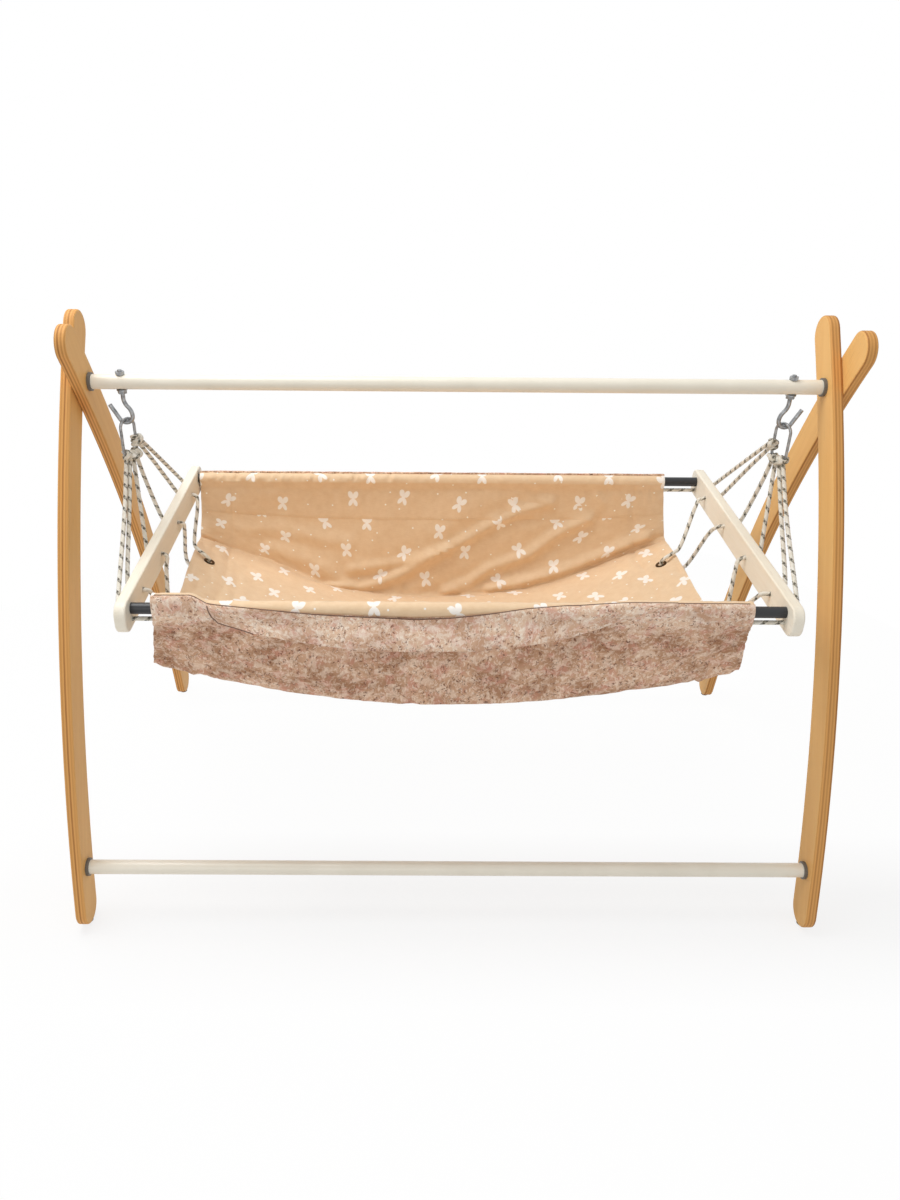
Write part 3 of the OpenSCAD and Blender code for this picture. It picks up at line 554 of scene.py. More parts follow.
def grid_piece(name, shape, across, down, uv, thickness, rim=0.0009):
    """A sheet of across by down faces, thickened half to each side, with its hems rounded. shape
    gives places for arrays u, v from 0 to 1, and uv the two coordinates on the cloth's own cut."""
    bm = bmesh.new()
    bmesh.ops.create_grid(bm, x_segments=across, y_segments=down, size=0.5)
    u, v = (np.array([vert.co[:2] for vert in bm.verts]) + 0.5).T
    places = shape(u, v)
    cloth_uv = np.stack(uv(u, v), axis=1)
    layer = bm.loops.layers.uv.new("cut")
    bm.verts.ensure_lookup_table()
    for face in bm.faces:
        face.smooth = True
        for corner in face.loops:
            corner[layer].uv = cloth_uv[corner.vert.index]
    for vert, place in zip(bm.verts, places):
        vert.co = place
    piece = add_mesh(name, bm)
    wall = piece.modifiers.new("thickness", "SOLIDIFY")
    wall.thickness, wall.offset = thickness, 0
    hem = piece.modifiers.new("hem", "BEVEL")
    hem.width, hem.segments, hem.angle_limit = rim, 2, math.radians(60)
    return piece


def lining_shape(u, v):
    return cloth_point(2 * u - 1, LAST * v, LINING_H)


def lining_uv(u, v):
    return (u - 0.5) * CLOTH_W, np.interp(LAST * v, SEAM_T, RUN)


lining = grid_piece("padded_lining", lining_shape, 190, 180, lining_uv, LINING_T, 0.0016)

# Woven cotton: two sets of threads, a slow unevenness and pulled yarns
weave, w_in = new_group("weave", {"Vector": "Vector", "Thread": "Float"},
                        {"Height": "Float", "Shade": "Float"})
cut, thread = w_in.outputs[:2]
threads = vector_maths("MULTIPLY", cut, maths("DIVIDE", 2 * math.pi, thread))
ups, overs = [maths("ABSOLUTE", maths("SINE", axis(threads, k))) for k in (0, 1)]
slub = noise_of(scaled(cut, 90, 900, 1), 1, 2)
shade = times_plus(slub, 0.4, times(noise_of(cut, 60, 5, 0.6), 0.6))
feed(weave.nodes.new("NodeGroupOutput"),
     {"Height": times_plus(slub, 0.5, times(plus(ups, overs), 0.35)), "Shade": shade})

# The print: rows of small bows, each turned its own way, and dots between them
prints, p_in = new_group("bow print", {"Vector": "Vector"}, {"Mask": "Float"})


def cells(vector, wide, high, jitter, salt):
    """Staggered cells of the cloth. Returns x and y from each cell's own middle, and its lot."""
    v = maths("DIVIDE", axis(vector, 1), high)
    row = maths("FLOOR", v)
    u = times_plus(maths("MODULO", plus(row, 100), 2), 0.5, maths("DIVIDE", axis(vector, 0), wide))
    column = maths("FLOOR", u)
    cell = node("TexWhiteNoise", {0: joined(column, row, salt)})
    lot = node("SeparateColor", {0: cell.outputs["Color"]})
    shift = [times_plus(lot.outputs[k], jitter, -0.5 - jitter / 2) for k in (0, 1)]
    x = times(plus(minus(u, column), shift[0]), wide)
    y = times(plus(minus(v, row), shift[1]), high)
    return x, y, lot.outputs[2]


def spun(place, turn):
    """A place, turned in the cloth's plane."""
    return node("VectorRotate", {"Vector": place, "Angle": turn}, rotation_type="Z_AXIS").outputs[0]


def leaf(at, middle, turn, radii):
    """Distance from a leaf's middle, 1 at its outline."""
    moved = spun(vector_maths("SUBTRACT", at, middle + (0,)), -turn)
    return vector_maths("LENGTH", vector_maths("MULTIPLY", moved, (1 / radii[0], 1 / radii[1], 0)))


BOW_CELL, DOT_CELL = (0.118, 0.058), (0.052, 0.027)
BOW_R, BOW_TALL, DOT_R = 0.0125, 1.35, 0.0017
x, y, lot = cells(p_in.outputs[0], *BOW_CELL, 0.34, 1)
here = spun(joined(maths("DIVIDE", x, BOW_R), maths("DIVIDE", y, BOW_R)), times_plus(lot, 1.3, -0.65))
here = vector_maths("MULTIPLY", here, (1, -1 / BOW_TALL, 1))
mirrored = joined(axis(vector_maths("ABSOLUTE", here), 0), axis(here, 1))
leaves = [leaf(mirrored, (0.4, 0.48), math.radians(50), (0.5, 0.38)),
          leaf(mirrored, (0.36, -0.48), math.radians(-52), (0.5, 0.29)),
          leaf(mirrored, (0, 0), 0, (0.24, 0.2))]
bow = ranged(reduce(partial(maths, "MINIMUM"), leaves), 1.12, 0.9)
x, y, lot = cells(p_in.outputs[0], *DOT_CELL, 0.6, 2)
dot = times(ranged(vector_maths("LENGTH", joined(x, y)), DOT_R * 1.2, DOT_R * 0.8), ranged(lot, 0.44, 0.45))
feed(prints.nodes.new("NodeGroupOutput"), {"Mask": maths("MAXIMUM", bow, dot)})

BEIGE = (rgb(238, 208, 171), rgb(229, 195, 154))
BOW_WHITE = rgb(255, 249, 241)


def woven_cotton(name, roughness, sheen):
    """Plain woven cotton. Returns it, its shader, the place on the cloth's own cut, and how the
    yarns' shade runs."""
    made, tree, shader = lacquer(name, roughness, Sheen_Weight=sheen, Sheen_Roughness=0.5)
    cut = node("UVMap", tree=tree, uv_map="cut").outputs[0]
    woven = grouped(weave, Vector=cut, Thread=0.0009)
    bump(shader, woven.outputs["Height"], 0.0002, 0.55)
    return made, shader, cut, woven.outputs["Shade"]


# The printed cotton: a beige ground with the bows and dots
cotton, shader, cut, shade = woven_cotton("printed_cotton", 0.66, 0.3)
inked = times(grouped(prints, Vector=cut).outputs["Mask"], ranged(shade, 0.2, 0.8, 1, 0.85))
feed(shader, {"Base Color": mixed(inked, mixed(ranged(shade, 0.35, 0.65), *BEIGE), BOW_WHITE)})


def finish(piece, material, slot, *stands_for):
    """Gives a soft piece of the cradle its material, puts it on the cradle's body and hides the CAD nodes
    that it stands for.
    """
    piece.data.materials.append(material)
    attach(piece, "cradle")
    if stands_for:
        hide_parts(*stands_for)
    return piece


finish(lining, cotton, "beige_print", "lining")

# The outer cloth: cotton with a dusty pink leafy print, sewn to the lining round the edges. At
# both tubes it goes on up over the outside of the sleeve.
OUTER_H, OUTER_T = -0.00135, 0.0021
SLEEVE_R, COVER_R, HANG_OUT = 0.012, 0.0139, 0.0013
BACK_HEM_TURN = 96


# Where the front seam runs: place along the tube, and its turn round the sleeve from
# the outside up, in degrees. It dips below the crown in the middle.
SEAM_WAY = [(-0.48, 62), (-0.392, 64), (-0.376, 50), (-0.31, 27), (-0.217, -4), (-0.12, -24),
            (-0.065, -36), (-0.02, -26), (0.05, 8), (0.1, 36), (0.16, 56), (0.215, 62), (0.47, 62)]


def seam_turn(x):
    """The seam's turn round the sleeve at x, smoothed over 8 mm."""
    places, values = zip(*SEAM_WAY)
    return sum(np.interp(x + shift, places, values) for shift in (-0.008, -0.003, 0.003, 0.008)) / 4


def loose(x, side):
    """How far the cloth stands over a sleeve's crown. It is slack at the front tube's ends."""
    if side > 0:
        return 0.0005 + 0 * x
    return 0.013 * smooth(-x, 0.378, 0.41) + 0.0045 * smooth(x, 0.17, 0.27) + 0 * x


def flared(rise):
    """How far outside the tube's axis the outer cloth runs, at a height over the axis."""
    return HANG_OUT + 0.0117 * smooth(rise, -0.058, -0.002) ** 1.3


def over_sleeve(x, share, side, radius, top):
    """The outer cloth's way from the panel's top round the sleeve to its hem, share 0 to 1."""
    foot = np.stack([flared(CLOTH_TOP - TUBE_Z) + 0 * x, CLOTH_TOP - TUBE_Z + 0 * x])
    bend = np.minimum(top, -18)
    landing = radius * np.stack([np.cos(np.radians(bend)), np.sin(np.radians(bend))])
    straight = np.linalg.norm(landing - foot, axis=0)
    round_part = radius * np.radians(top - bend)
    gone = np.clip(share, 0, 1) * (straight + round_part)
    turn = np.radians(bend) + np.clip(gone - straight, 0, None) / radius
    bare = foot + (landing - foot) * np.clip(gone / straight, 0, 1)
    way = np.where(gone < straight, bare, radius * np.stack([np.cos(turn), np.sin(turn)]))
    slack = loose(x, side) * smooth(way[1], -0.004, 0.008)
    return np.stack([x, side * (TUBE_Y + way[0]), TUBE_Z + way[1] + slack], axis=1)


SLEEVE_BELOW, SLEEVE_ABOVE = 0.05, 0.07   # shares of v that lie on the back and front sleeves


def outer_shape(u, v):
    s, t = 2 * u - 1, LAST * (v - SLEEVE_BELOW) / (1 - SLEEVE_BELOW - SLEEVE_ABOVE)
    places = cloth_point(s, np.clip(t, 0, LAST), OUTER_H)
    # Near the tubes the outer cloth leaves the lining and runs to the sleeve's outside
    rise = places[:, 2] - TUBE_Z
    for side, near in ((1, t < 2), (-1, t > LAST - 2)):
        places[:, 1] += np.where(near, side * (flared(rise) - HANG_OUT), 0)
    x = places[:, 0]
    ripple = 0.0006 * rumple(x, v, 0.018, 31, 2)
    back = over_sleeve(x, 1 - v / SLEEVE_BELOW, 1, COVER_R + ripple, BACK_HEM_TURN + 0 * x)
    front = over_sleeve(x, 1 - (1 - v) / SLEEVE_ABOVE, -1, COVER_R + ripple, seam_turn(x))
    places = np.where((t < 0)[:, None], back, places)
    return np.where((t > LAST)[:, None], front, places)


def outer_uv(u, v):
    t = LAST * (v - SLEEVE_BELOW) / (1 - SLEEVE_BELOW - SLEEVE_ABOVE)
    down = np.interp(t, SEAM_T, RUN) + np.minimum(t, 0) * 0.05 + np.maximum(t - LAST, 0) * 0.05
    return (u - 0.5) * CLOTH_W, down


outer = grid_piece("outer_cloth_print", outer_shape, 180, 190, outer_uv, OUTER_T)

DUSTY = {"ground": rgb(217, 174, 141), "shade": rgb(171, 124, 90), "cream": rgb(251, 227, 204),
         "leaf": rgb(120, 76, 52), "rose": rgb(208, 146, 124)}
# Lighter copies of the same inks: painted light, a painted highlight for the front tube's crown and the
# facing
PAINTED_LIT_INKS = {"ground": rgb(233, 198, 168), "shade": rgb(200, 158, 128), "cream": rgb(255, 241, 224),
         "leaf": rgb(134, 88, 66), "rose": rgb(220, 168, 148)}


def leafy_cotton(name, below, crown):
    """Cotton printed all over with small blurred leaves, with one set of inks on the panels and
    another on the front tube's crown, where lighter inks paint a highlight."""
    made, shader, cut, _ = woven_cotton(name, 0.82, 0.1)
    drift = node("TexNoise", {"Vector": cut, "Scale": 70, "Detail": 3}).outputs["Color"]
    swirl = vector_maths("SUBTRACT", drift, (0.5, 0.5, 0.5))
    bent = vector_maths("ADD", cut, vector_maths("MULTIPLY", swirl, (0.012, 0.012, 0.012)))
    # Painted highlight: over the last 30 mm of the cloth, on the front tube's crown, the inks turn to their
    # lighter copies
    wear_and_lit_crown = ranged(axis(cut, 1), RUN[-1] - 0.03, RUN[-1] + 0.004)
    inks = {ink: mixed(wear_and_lit_crown, below[ink], crown[ink]) for ink in below}
    patch = ranged(noise_of(cut, 15, 3), 0.39, 0.61)
    rosy = ranged(noise_of(bent, 40, 3), 0.5, 0.64)
    blotch = ranged(noise_of(bent, 62, 4, 0.65), 0.49, 0.6)
    standing = scaled(bent, 1, 0.62, 1)
    sprigs = ranged(noise_of(standing, 240, 2, 0.5, 0.8), 0.52, 0.62)
    spots = node("TexVoronoi", {"Vector": standing, "Scale": 120, "Randomness": 1}, feature="F1")
    leaves = ranged(spots.outputs[0], 0.34, 0.52, 1, 0)
    flecks = ranged(noise_of(bent, 300, 3, 0.6), 0.5, 0.62)
    colour = mixed(patch, inks["ground"], inks["shade"])
    for share, ink in ((times(rosy, 0.7), "rose"), (times(blotch, 0.48), "cream"),
                       (times(sprigs, ranged(patch, 0, 1, 0.74, 0.36)), "cream"),
                       (times(times(leaves, flecks), 0.95), "leaf")):
        colour = mixed(share, colour, inks[ink])
    feed(shader, {"Base Color": colour})
    return made


finish(outer, leafy_cotton("leafy_cotton", DUSTY, PAINTED_LIT_INKS), "dusty_pink_cloth", "outer_cloth")


# The sleeves: bands of the printed cotton over the two tubes. The inner hem hangs below the
# tube and is sewn through the lining, with gathers where the seam pulls.
SLEEVE_T = 0.0014
SLEEVE_HEM = [1.04, 0.8, 0.55, 0.3, 0.12]   # rows, as shares of the hem's own


def sleeve_piece(name, side, gathered):
    """One sleeve. side is 1 for the back tube and -1 for the front one."""
    def shape(u, v):
        s = 2 * u - 1
        # Rows on the lining's face, then a way round the tube from the inside over the crown
        bed = [cloth_point(s, t if side > 0 else LAST - t, LINING_H + LINING_T / 2)
               for t in (row * hem_row(s) for row in SLEEVE_HEM)]
        x = blend(*cloth_ends(side * TUBE_Y, 0 if side > 0 else LAST), u)
        bends = np.radians(np.arange(192, -50, -14))
        across = [p[:, 0] for p in bed] + [x for a in bends]
        lane = [side * p[:, 1] - TUBE_Y for p in bed] + [SLEEVE_R * math.cos(a) + 0 * x for a in bends]
        tall = [p[:, 2] - TUBE_Z for p in bed] + [SLEEVE_R * math.sin(a) + 0 * x for a in bends]
        place = v * (len(lane) - 1)
        x, lane, tall = (spline(np.array(rows), place) for rows in (across, lane, tall))
        gather = gathered(x) * rumple(x, 0 * x, 0.016, 41.0 + side, 3)
        swell = gather * smooth(v, 0.22, 0.36) * smooth(-v, -0.62, -0.4)
        lane -= 0.0042 * swell
        tall += 0.0008 * gather * smooth(v, 0.2, 0.45) * smooth(1 - v, 0.1, 0.4)
        tall += loose(x, side) * smooth(tall, -0.004, 0.008)
        return np.stack([x, side * (TUBE_Y + lane), TUBE_Z + tall], axis=1)

    rows = np.linspace(0, 1, 60)
    gone = run_along(shape(0 * rows + 0.5, rows))

    def uv(u, v):
        hem = 0.066 if side > 0 else 0.911
        return (u - 0.5) * CLOTH_W, hem - side * np.interp(v, rows, gone)

    made = grid_piece(name + "_band", shape, 220, 44, uv, SLEEVE_T, 0.0005)
    return finish(made, cotton, "beige_print", name)


back_sleeve = sleeve_piece("back_sleeve", 1, lambda x: 0.35 + 1.1 * smooth(-x, 0, 0.2))
front_sleeve = sleeve_piece("front_sleeve", -1, lambda x: 0.5 + 0 * x)

# The facing: a crescent of the same pink cloth, all in the lighter inks, a painted highlight over its whole
# face. It is sewn along the beige seam and loose below, where it stands away from the panel and shades it.
FLAP_X = (-0.382, 0.331)
FLAP_R, FLAP_T, FLAP_FLARE = 0.0158, 0.0015, 0.021
# Its lower edge: place along the tube, and depth under the tube's axis
FLAP_EDGE = [(-0.382, -0.012), (-0.376, 0.004), (-0.366, 0.014), (-0.313, 0.028), (-0.251, 0.04),
             (-0.17, 0.049), (-0.075, 0.053), (0.019, 0.052), (0.09, 0.045), (0.161, 0.034),
             (0.215, 0.019), (0.255, 0.004), (0.3, -0.007), (0.331, -0.0115)]


def flap_shape(u, v):
    x = blend(FLAP_X[0], FLAP_X[1], u)
    turn = np.radians(seam_turn(x))
    seam_out, seam_up = FLAP_R * np.cos(turn), FLAP_R * np.sin(turn)
    low = np.minimum(-np.interp(x, *zip(*FLAP_EDGE)), seam_up - 0.001)
    tall = blend(seam_up, low, v)
    # It follows the sleeve down to the axis and then hangs, standing away more towards the hem
    out = np.sqrt(np.clip(FLAP_R**2 - np.clip(tall, 0, FLAP_R) ** 2, 0, None))
    out = np.where(tall < 0, np.maximum(FLAP_R, seam_out), out)
    wave = 0.0012 * np.sin(x * 31) + 0.0016 * rumple(x, tall, 0.03, 51)
    out = out + smooth(-tall, -0.004, 0.03) * (wave + FLAP_FLARE * smooth(-tall, 0, 0.06))
    return np.stack([x, -(TUBE_Y + out), TUBE_Z + tall + loose(x, -1) * smooth(tall, 0.004, 0.012)], axis=1)


def flap_uv(u, v):
    return (u - 0.5) * 0.71 + 0.13, v * 0.06 + 1.3


flap = grid_piece("front_facing_flap", flap_shape, 200, 16, flap_uv, FLAP_T, 0.0005)
# Painted highlight: the facing takes the lighter inks all over
finish(flap, leafy_cotton("leafy_facing", PAINTED_LIT_INKS, PAINTED_LIT_INKS), "dusty_pink_cloth", "front_facing")


# The stitching: short pale stitches of polyester thread along the hems, the sleeves' seams and
# the facing's seam.
EDGE_W, OVERLAP = 0.0019, 0.07


def sewing_thread(name, light, dark):
    """Twisted polyester."""
    made, tree, shader = lacquer(name, 0.6, Sheen_Weight=0.2)
    twist = node("TexWave", {"Vector": own_place(tree), "Scale": 900, "Distortion": 1}).outputs["Fac"]
    feed(shader, {"Base Color": mixed(twist, light, dark)})
    return made


pale_thread = sewing_thread("pale_thread", rgb(232, 208, 176), rgb(204, 172, 134))
brown_thread = sewing_thread("brown_thread", rgb(132, 96, 76), rgb(84, 56, 42))


def stitches(name, lines, slot, material, width=0.0006, step=0.0052, length=0.0034):
    """A piece of thread work: stitches end to end along lines of points, bedded on a surface with
    these normals."""
    bm = bmesh.new()
    size = Matrix.Diagonal((length / 2, width / 2, width / 2, 1))
    for line, normal in lines:
        run = run_along(line)
        for at in np.arange(step, run[-1] - step, step):
            middle = Vector(read_off(line, run, at))
            away = Vector(read_off(normal, run, at)).normalized()
            ahead = (Vector(read_off(line, run, at + 0.001)) - middle).normalized()
            turn = Matrix((ahead, away.cross(ahead).normalized(), away)).transposed().to_4x4()
            place = Matrix.Translation(middle) @ turn @ size
            bmesh.ops.create_icosphere(bm, subdivisions=1, radius=1, matrix=place)
    for face in bm.faces:
        face.smooth = True
    return finish(add_mesh(name, bm), material, slot)


def on_lining(s, t, face_side=1, rise=0.0001):
    """A line of points just on the lining's face, or on the outer cloth's face for -1."""
    height = LINING_H + LINING_T / 2 + rise if face_side > 0 else OUTER_H - OUTER_T / 2 - rise
    return cloth_point(s, t, height), inward(s, t) * face_side


SEAM_ROW = 0.99
ROWS = 220
hems = [np.full(ROWS, end * (1 - HEM_IN)) for end in (-1, 1)]
hem_lines = [on_lining(hem, np.linspace(0.45, 11.55, ROWS)) for hem in hems]
s_line = np.linspace(-0.985, 0.985, ROWS)
hem_lines.append(on_lining(s_line, SEAM_ROW * hem_row(s_line), 1, SLEEVE_T / 2))
lining_thread = stitches("lining_stitches", hem_lines, "beige_print", pale_thread)
outer_lines = [on_lining(hem, np.linspace(1.2, 10.8, ROWS), -1) for hem in hems]
outer_thread = stitches("outer_stitches", outer_lines, "dusty_pink_cloth", pale_thread)
# Dark overlocked edge where pink meets beige on the front sleeve, and down the flap's left hem
x = np.linspace(-0.462, 0.444, 400)
turn = np.radians(seam_turn(x)) + OVERLAP
radius = np.where((x > FLAP_X[0]) & (x < FLAP_X[1]), FLAP_R, COVER_R + 0.0006)
z = TUBE_Z + radius * np.sin(turn) + loose(x, -1) * smooth(turn, 0.3, 0.8)
edge = np.stack([x, -(TUBE_Y + radius * np.cos(turn)), z], axis=1)
edge_out = np.stack([0 * x, -np.cos(turn), np.sin(turn)], axis=1)
hem_u = np.linspace(0, 0.1, 80)
flap_hem = flap_shape(hem_u, 1 + 0 * hem_u) + np.array([0, -0.001, -0.0003])
edge_lines = [(edge, edge_out), (flap_hem, np.tile((0, -1, 0), (80, 1)))]
edge_thread = stitches("seam_overlock", edge_lines, "dusty_pink_cloth", brown_thread,
                       width=EDGE_W, step=0.0022, length=0.003)

# The eyelets: burnished brass rings pressed through both layers, for the slings.
dress(metal("burnished_brass", rgb(104, 84, 60), rgb(52, 42, 32), 0.34, 300),
      "left_eyelets", "right_eyelets")

# The ropes: 6.5 mm braided polyester, cream with grey-green flecks, tied to the rings and
# passed through the spreaders. A sling goes through an eyelet at each corner of the floor.
ROPE_D = 0.0065
BRAID_PITCH = 0.023
ROPE_SIDES, ROPE_STEP = 16, 0.0013
HOOK_X, IN_X, SPREADER_Z = 0.548, 0.5, 0.566
END_HOLE_Z = 0.554
# The way of each right-hand rope from a knot to its hole, back to front
OUTSIDE = [
    [(0.54, 0.018, 0.747), (0.534, 0.095, 0.687), (0.525, 0.248, 0.568), (0.524, 0.259, 0.558),
     (0.52, 0.265, 0.554)],
    [(0.54, 0.018, 0.738), (0.534, 0.08, 0.678), (0.526, 0.177, 0.582), (0.525, 0.188, 0.572),
     (0.521, 0.194, 0.566)],
    [(0.542, 0.01, 0.713), (0.538, 0.024, 0.67), (0.527, 0.056, 0.584), (0.525, 0.062, 0.573),
     (0.521, 0.065, 0.566)],
    [(0.546, 0.003, 0.712), (0.54, -0.016, 0.668), (0.527, -0.056, 0.584), (0.525, -0.062, 0.573),
     (0.521, -0.065, 0.566)],
    [(0.55, -0.004, 0.712), (0.54, -0.075, 0.658), (0.527, -0.178, 0.582), (0.525, -0.188, 0.572),
     (0.521, -0.194, 0.566)],
    [(0.554, -0.011, 0.716), (0.543, -0.095, 0.656), (0.526, -0.248, 0.566), (0.524, -0.259, 0.557),
     (0.52, -0.265, 0.554)]]
# Inside a spreader, x outwards: from the upper hole, round an eyelet and to the lower hole,
# each for the left end and then for the right one
FROM_HOLE = [[(-0.001, 0, 0), (-0.009, -0.002, -0.003), (-0.011, -0.01, -0.016)],
             [(-0.001, 0, 0), (-0.012, -0.002, -0.002), (-0.019, -0.009, -0.014)]]
EYE_WAY = [(0.005, 0.001, 0.017), (-0.002, 0, 0.009), (-0.001, 0, 0.002), (0.002, 0, -0.004),
           (0.006, -0.001, -0.007), (0.016, -0.002, -0.007)]
THREAD = [[(0.027, 0.018, 0.03), (0.02, 0.012, 0.024), *EYE_WAY,
           (0.028, -0.006, -0.004), (0.036, -0.012, 0.006), (0.036, -0.025, 0.031)],
          [(0.033, 0.017, 0.029), (0.023, 0.011, 0.024), *EYE_WAY,
           (0.028, -0.008, -0.004), (0.04, -0.014, 0.006)]]
TO_HOLE = [[(-0.008, 0.01, -0.02), (-0.009, 0.002, -0.004), (-0.001, 0, 0)],
           [(-0.019, 0.015, -0.02), (-0.012, 0.003, -0.004), (-0.001, 0, 0)]]


def turned_to(points, middle, x, y):
    """Points round a middle, mirrored where x or y is -1."""
    return [Vector(middle) + Vector((x * p[0], y * p[1], p[2])) for p in points]


def curve_through(points):
    """A smooth line through points, not swinging wide where they lie close, in even short steps."""
    p = [np.array(q, float) for q in points]
    p = [2 * p[0] - p[1]] + p + [2 * p[-1] - p[-2]]
    line = []
    for a, b, c, d in zip(p, p[1:], p[2:], p[3:]):
        k = [0]
        for q, r in ((a, b), (b, c), (c, d)):
            k.append(k[-1] + max(np.linalg.norm(r - q), 1e-6) ** 0.5)
        for t in np.linspace(k[1], k[2], 24, endpoint=False):
            mix = [a, b, c, d]
            for lows, highs in ((k[:3], k[1:]), (k[:2], k[2:]), (k[1:2], k[2:3])):
                mix = [(q * (high - t) + r * (t - low)) / (high - low)
                       for q, r, low, high in zip(mix, mix[1:], lows, highs)]
            line += mix
    line = np.array(line + [p[-2]])
    run = run_along(line)
    return read_off(line, run, np.arange(0, run[-1], ROPE_STEP)).T


def braid_height(turn, run):
    """Height of the braid's surface, 0 to 1: eight carriers that pass over and under by turns."""
    a, b = 4 * (turn + run / BRAID_PITCH), 4 * (turn - run / BRAID_PITCH)
    over = (np.floor(a) + np.floor(b)) % 2 == 0
    fa, fb = a - np.floor(a), b - np.floor(b)
    wide, long = np.where(over, fa, fb), np.where(over, fb, fa)
    return (1 - (2 * wide - 1) ** 2) ** 0.5 * (0.45 + 0.55 * np.sin(np.pi * long))


def rope_mesh(name, line, stands_for):
    """A braided rope along a line of even steps, closed at both ends."""
    tangent = unit(np.gradient(line, axis=0))
    side, sides = np.cross(tangent[0], (0.3, 0.2, 1)), []
    for along in tangent:
        side = side - along * np.dot(side, along)
        side = side / np.linalg.norm(side)
        sides.append(side)
    sides = np.array(sides)
    other = np.cross(tangent, sides)
    n, m = len(line), ROPE_SIDES
    turn = np.arange(m)[:, None] / m
    run = np.arange(n)[:, None, None] * ROPE_STEP
    radius = ROPE_D / 2 * (0.94 + 0.2 * braid_height(turn, run))
    ring = sides[:, None] * np.cos(2 * np.pi * turn) + other[:, None] * np.sin(2 * np.pi * turn)
    places = (line[:, None] + ring * radius).reshape(-1, 3)
    faces = [(r + k, r + (k + 1) % m, r + m + (k + 1) % m, r + m + k)
             for r in range(0, (n - 1) * m, m) for k in range(m)]
    faces += [range(m - 1, -1, -1), range((n - 1) * m, n * m)]
    mesh = bpy.data.meshes.new(name)
    mesh.from_pydata(places.tolist(), [], faces)
    layer = mesh.uv_layers.new(name="cut")
    for face in mesh.polygons:
        face.use_smooth = True
        for corner, vert in zip(face.loop_indices, face.vertices):
            closing = face.index % m == m - 1 and face.index < (n - 1) * m and vert % m == 0
            layer.data[corner].uv = (1 if closing else vert % m / m, vert // m * ROPE_STEP)
    return finish(add_object(name, mesh), rope_braid, "rope", stands_for)


# Braid: the carriers' crossings, a grey-green tracer that climbs once in a pitch, and the yarns, with
# painted shade in the grooves between them
rope_braid, tree, shader = lacquer("rope_braid", 0.7, Sheen_Weight=0.15, Sheen_Roughness=0.4)
cut = node("UVMap", tree=tree, uv_map="cut").outputs[0]
climb = maths("DIVIDE", axis(cut, 1), BRAID_PITCH)
turns = [times(maths(way, axis(cut, 0), climb), 4) for way in ("ADD", "SUBTRACT")]
steps = [maths("FLOOR", t) for t in turns]
parts = [maths("FRACT", t) for t in turns]
odd = ranged(maths("MODULO", plus(plus(*steps), 4000), 2), 0.4, 0.6)
carrier = maths("MODULO", plus(turns[0], 4000), 4)
tracer = times(ranged(carrier, 0, 0.12), ranged(carrier, 1.35, 1.2))
flecked = times(tracer, ranged(odd, 0, 1, 1, 0.45))
wide = node("Mix", {0: odd, 2: parts[0], 3: parts[1]}).outputs[0]
yarns = maths("ABSOLUTE", maths("SINE", times(wide, 4 * math.pi)))
place = own_place(tree)
wear_and_lit_crown = ranged(noise_of(place, 120, 3), 0.3, 0.7)
cream = mixed(wear_and_lit_crown, rgb(246, 242, 232), rgb(220, 212, 194))
fleck = mixed(wear_and_lit_crown, rgb(72, 70, 62), rgb(104, 98, 80))
# Painted shade: a darker colour in the grooves between the yarns
yarn_groove_shade = ranged(yarns, 0, 0.5, 0.3, 0)
feed(shader, {"Base Color": mixed(yarn_groove_shade, mixed(flecked, cream, fleck), rgb(150, 140, 118))})
bump(shader, times_plus(noise_of(place, 900, 3), 0.5, yarns), 0.0003, 0.6)

HOLES_Y = (0.266, 0.195, 0.065)
RING_TURN = math.radians(57)
RING_HALF_W, RING_WIRE, RING_BOTTOM = 0.0145, 0.005, 0.718
REAR_KNOT_Z, REAR_KNOT_HALF_H = 0.742, 0.0085
WIND_R = RING_WIRE / 2 + ROPE_D / 2


def ring_point(side, x, z):
    """A point in a ring's own plane, x towards the inside and back, z up."""
    return np.array([side * (HOOK_X - x * math.cos(RING_TURN)), x * math.sin(RING_TURN), z])


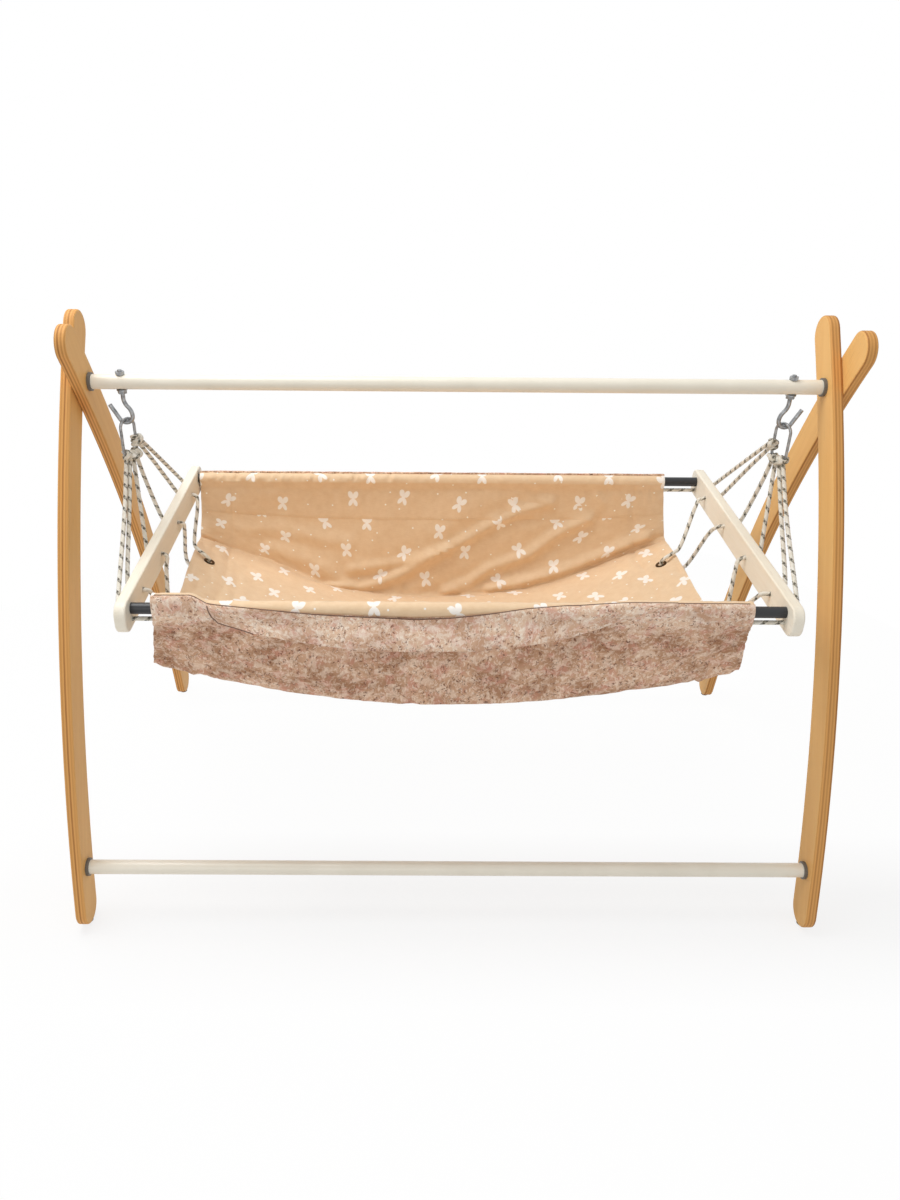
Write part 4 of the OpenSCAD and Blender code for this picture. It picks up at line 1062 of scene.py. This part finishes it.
def winding(side, wire, turns):
    """Points of a rope wound round a stretch of the ring's wire, then laid back over itself."""
    wire = np.array(wire)
    tangent = unit(np.gradient(wire, axis=0))
    flat = np.array([side * math.sin(RING_TURN), math.cos(RING_TURN), 0])
    other = np.cross(tangent, flat)

    def at(f):
        rows = range(len(wire))
        return [read_off(line, rows, f * rows[-1]) for line in (wire, other)]

    points = []
    for f in np.linspace(0, 1, int(turns * 14)):
        angle = 2 * math.pi * turns * f
        middle, out = at(f)
        points.append(middle + WIND_R * (flat * math.cos(angle) + out * math.sin(angle)))
    # Back over the turns on the side that faces the room
    room = -flat if flat[1] > 0 else flat
    for f in np.linspace(1, 0, 9)[1:]:
        middle, out = at(f)
        lift = WIND_R + 0.0058 * math.sin(math.pi * min(1, 1.2 * (1 - f) + 0.15))
        points.append(middle + lift * room + out * 0.003 * math.cos(math.pi * f))
    return points


# A corner of the cradle: its side, names, row down the section and ropes' ways
CORNERS = ((1, "back", "rear", 0, (0, 1, 2)), (-1, "front", "front", LAST, (5, 4, 3)))

for row, side, end in ((0, -1, "left"), (1, 1, "right")):
    heights = np.linspace(REAR_KNOT_Z - REAR_KNOT_HALF_H, REAR_KNOT_Z + REAR_KNOT_HALF_H, 12)
    rear_wire = [ring_point(side, RING_HALF_W, z) for z in heights]
    front_wire = [ring_point(side, RING_HALF_W * math.sin(a), RING_BOTTOM + RING_HALF_W * (1 - math.cos(a)))
                  for a in np.radians(np.linspace(-62, 62, 24))]
    knots = {}
    for which, wire, turns in (("rear", rear_wire, 2.6), ("front", front_wire, 4.4)):
        line = curve_through(winding(side, wire, turns))
        knots[which] = rope_mesh(f"{end}_{which}_hitch", line, f"{end}_{which}_knot")
    for back, which, knot, t, picks in CORNERS:
        tied, out, home = [turned_to(OUTSIDE[i], (0, 0, 0), side, 1) for i in picks]
        tucked = cloth_ends(back * TUBE_Y, t)[row] - side * 0.002
        tied += [Vector((x, back * HOLES_Y[0], END_HOLE_Z)) for x in (side * (IN_X - 0.001), tucked)]
        loop = turned_to(FROM_HOLE[row], (side * IN_X, back * HOLES_Y[1], SPREADER_Z), side, back)
        loop += turned_to(THREAD[row], eyelet_middle(side, back), side, back)
        loop += turned_to(TO_HOLE[row], (side * IN_X, back * HOLES_Y[2], SPREADER_Z), side, back)
        for label, way, on_it in (("end_rope", tied, [knots[knot]]), ("sling", out + loop + home[::-1], [])):
            line = curve_through(way)
            rope = rope_mesh(f"{end}_{which}_{label}_braid", line, f"{end}_{which}_{label}")
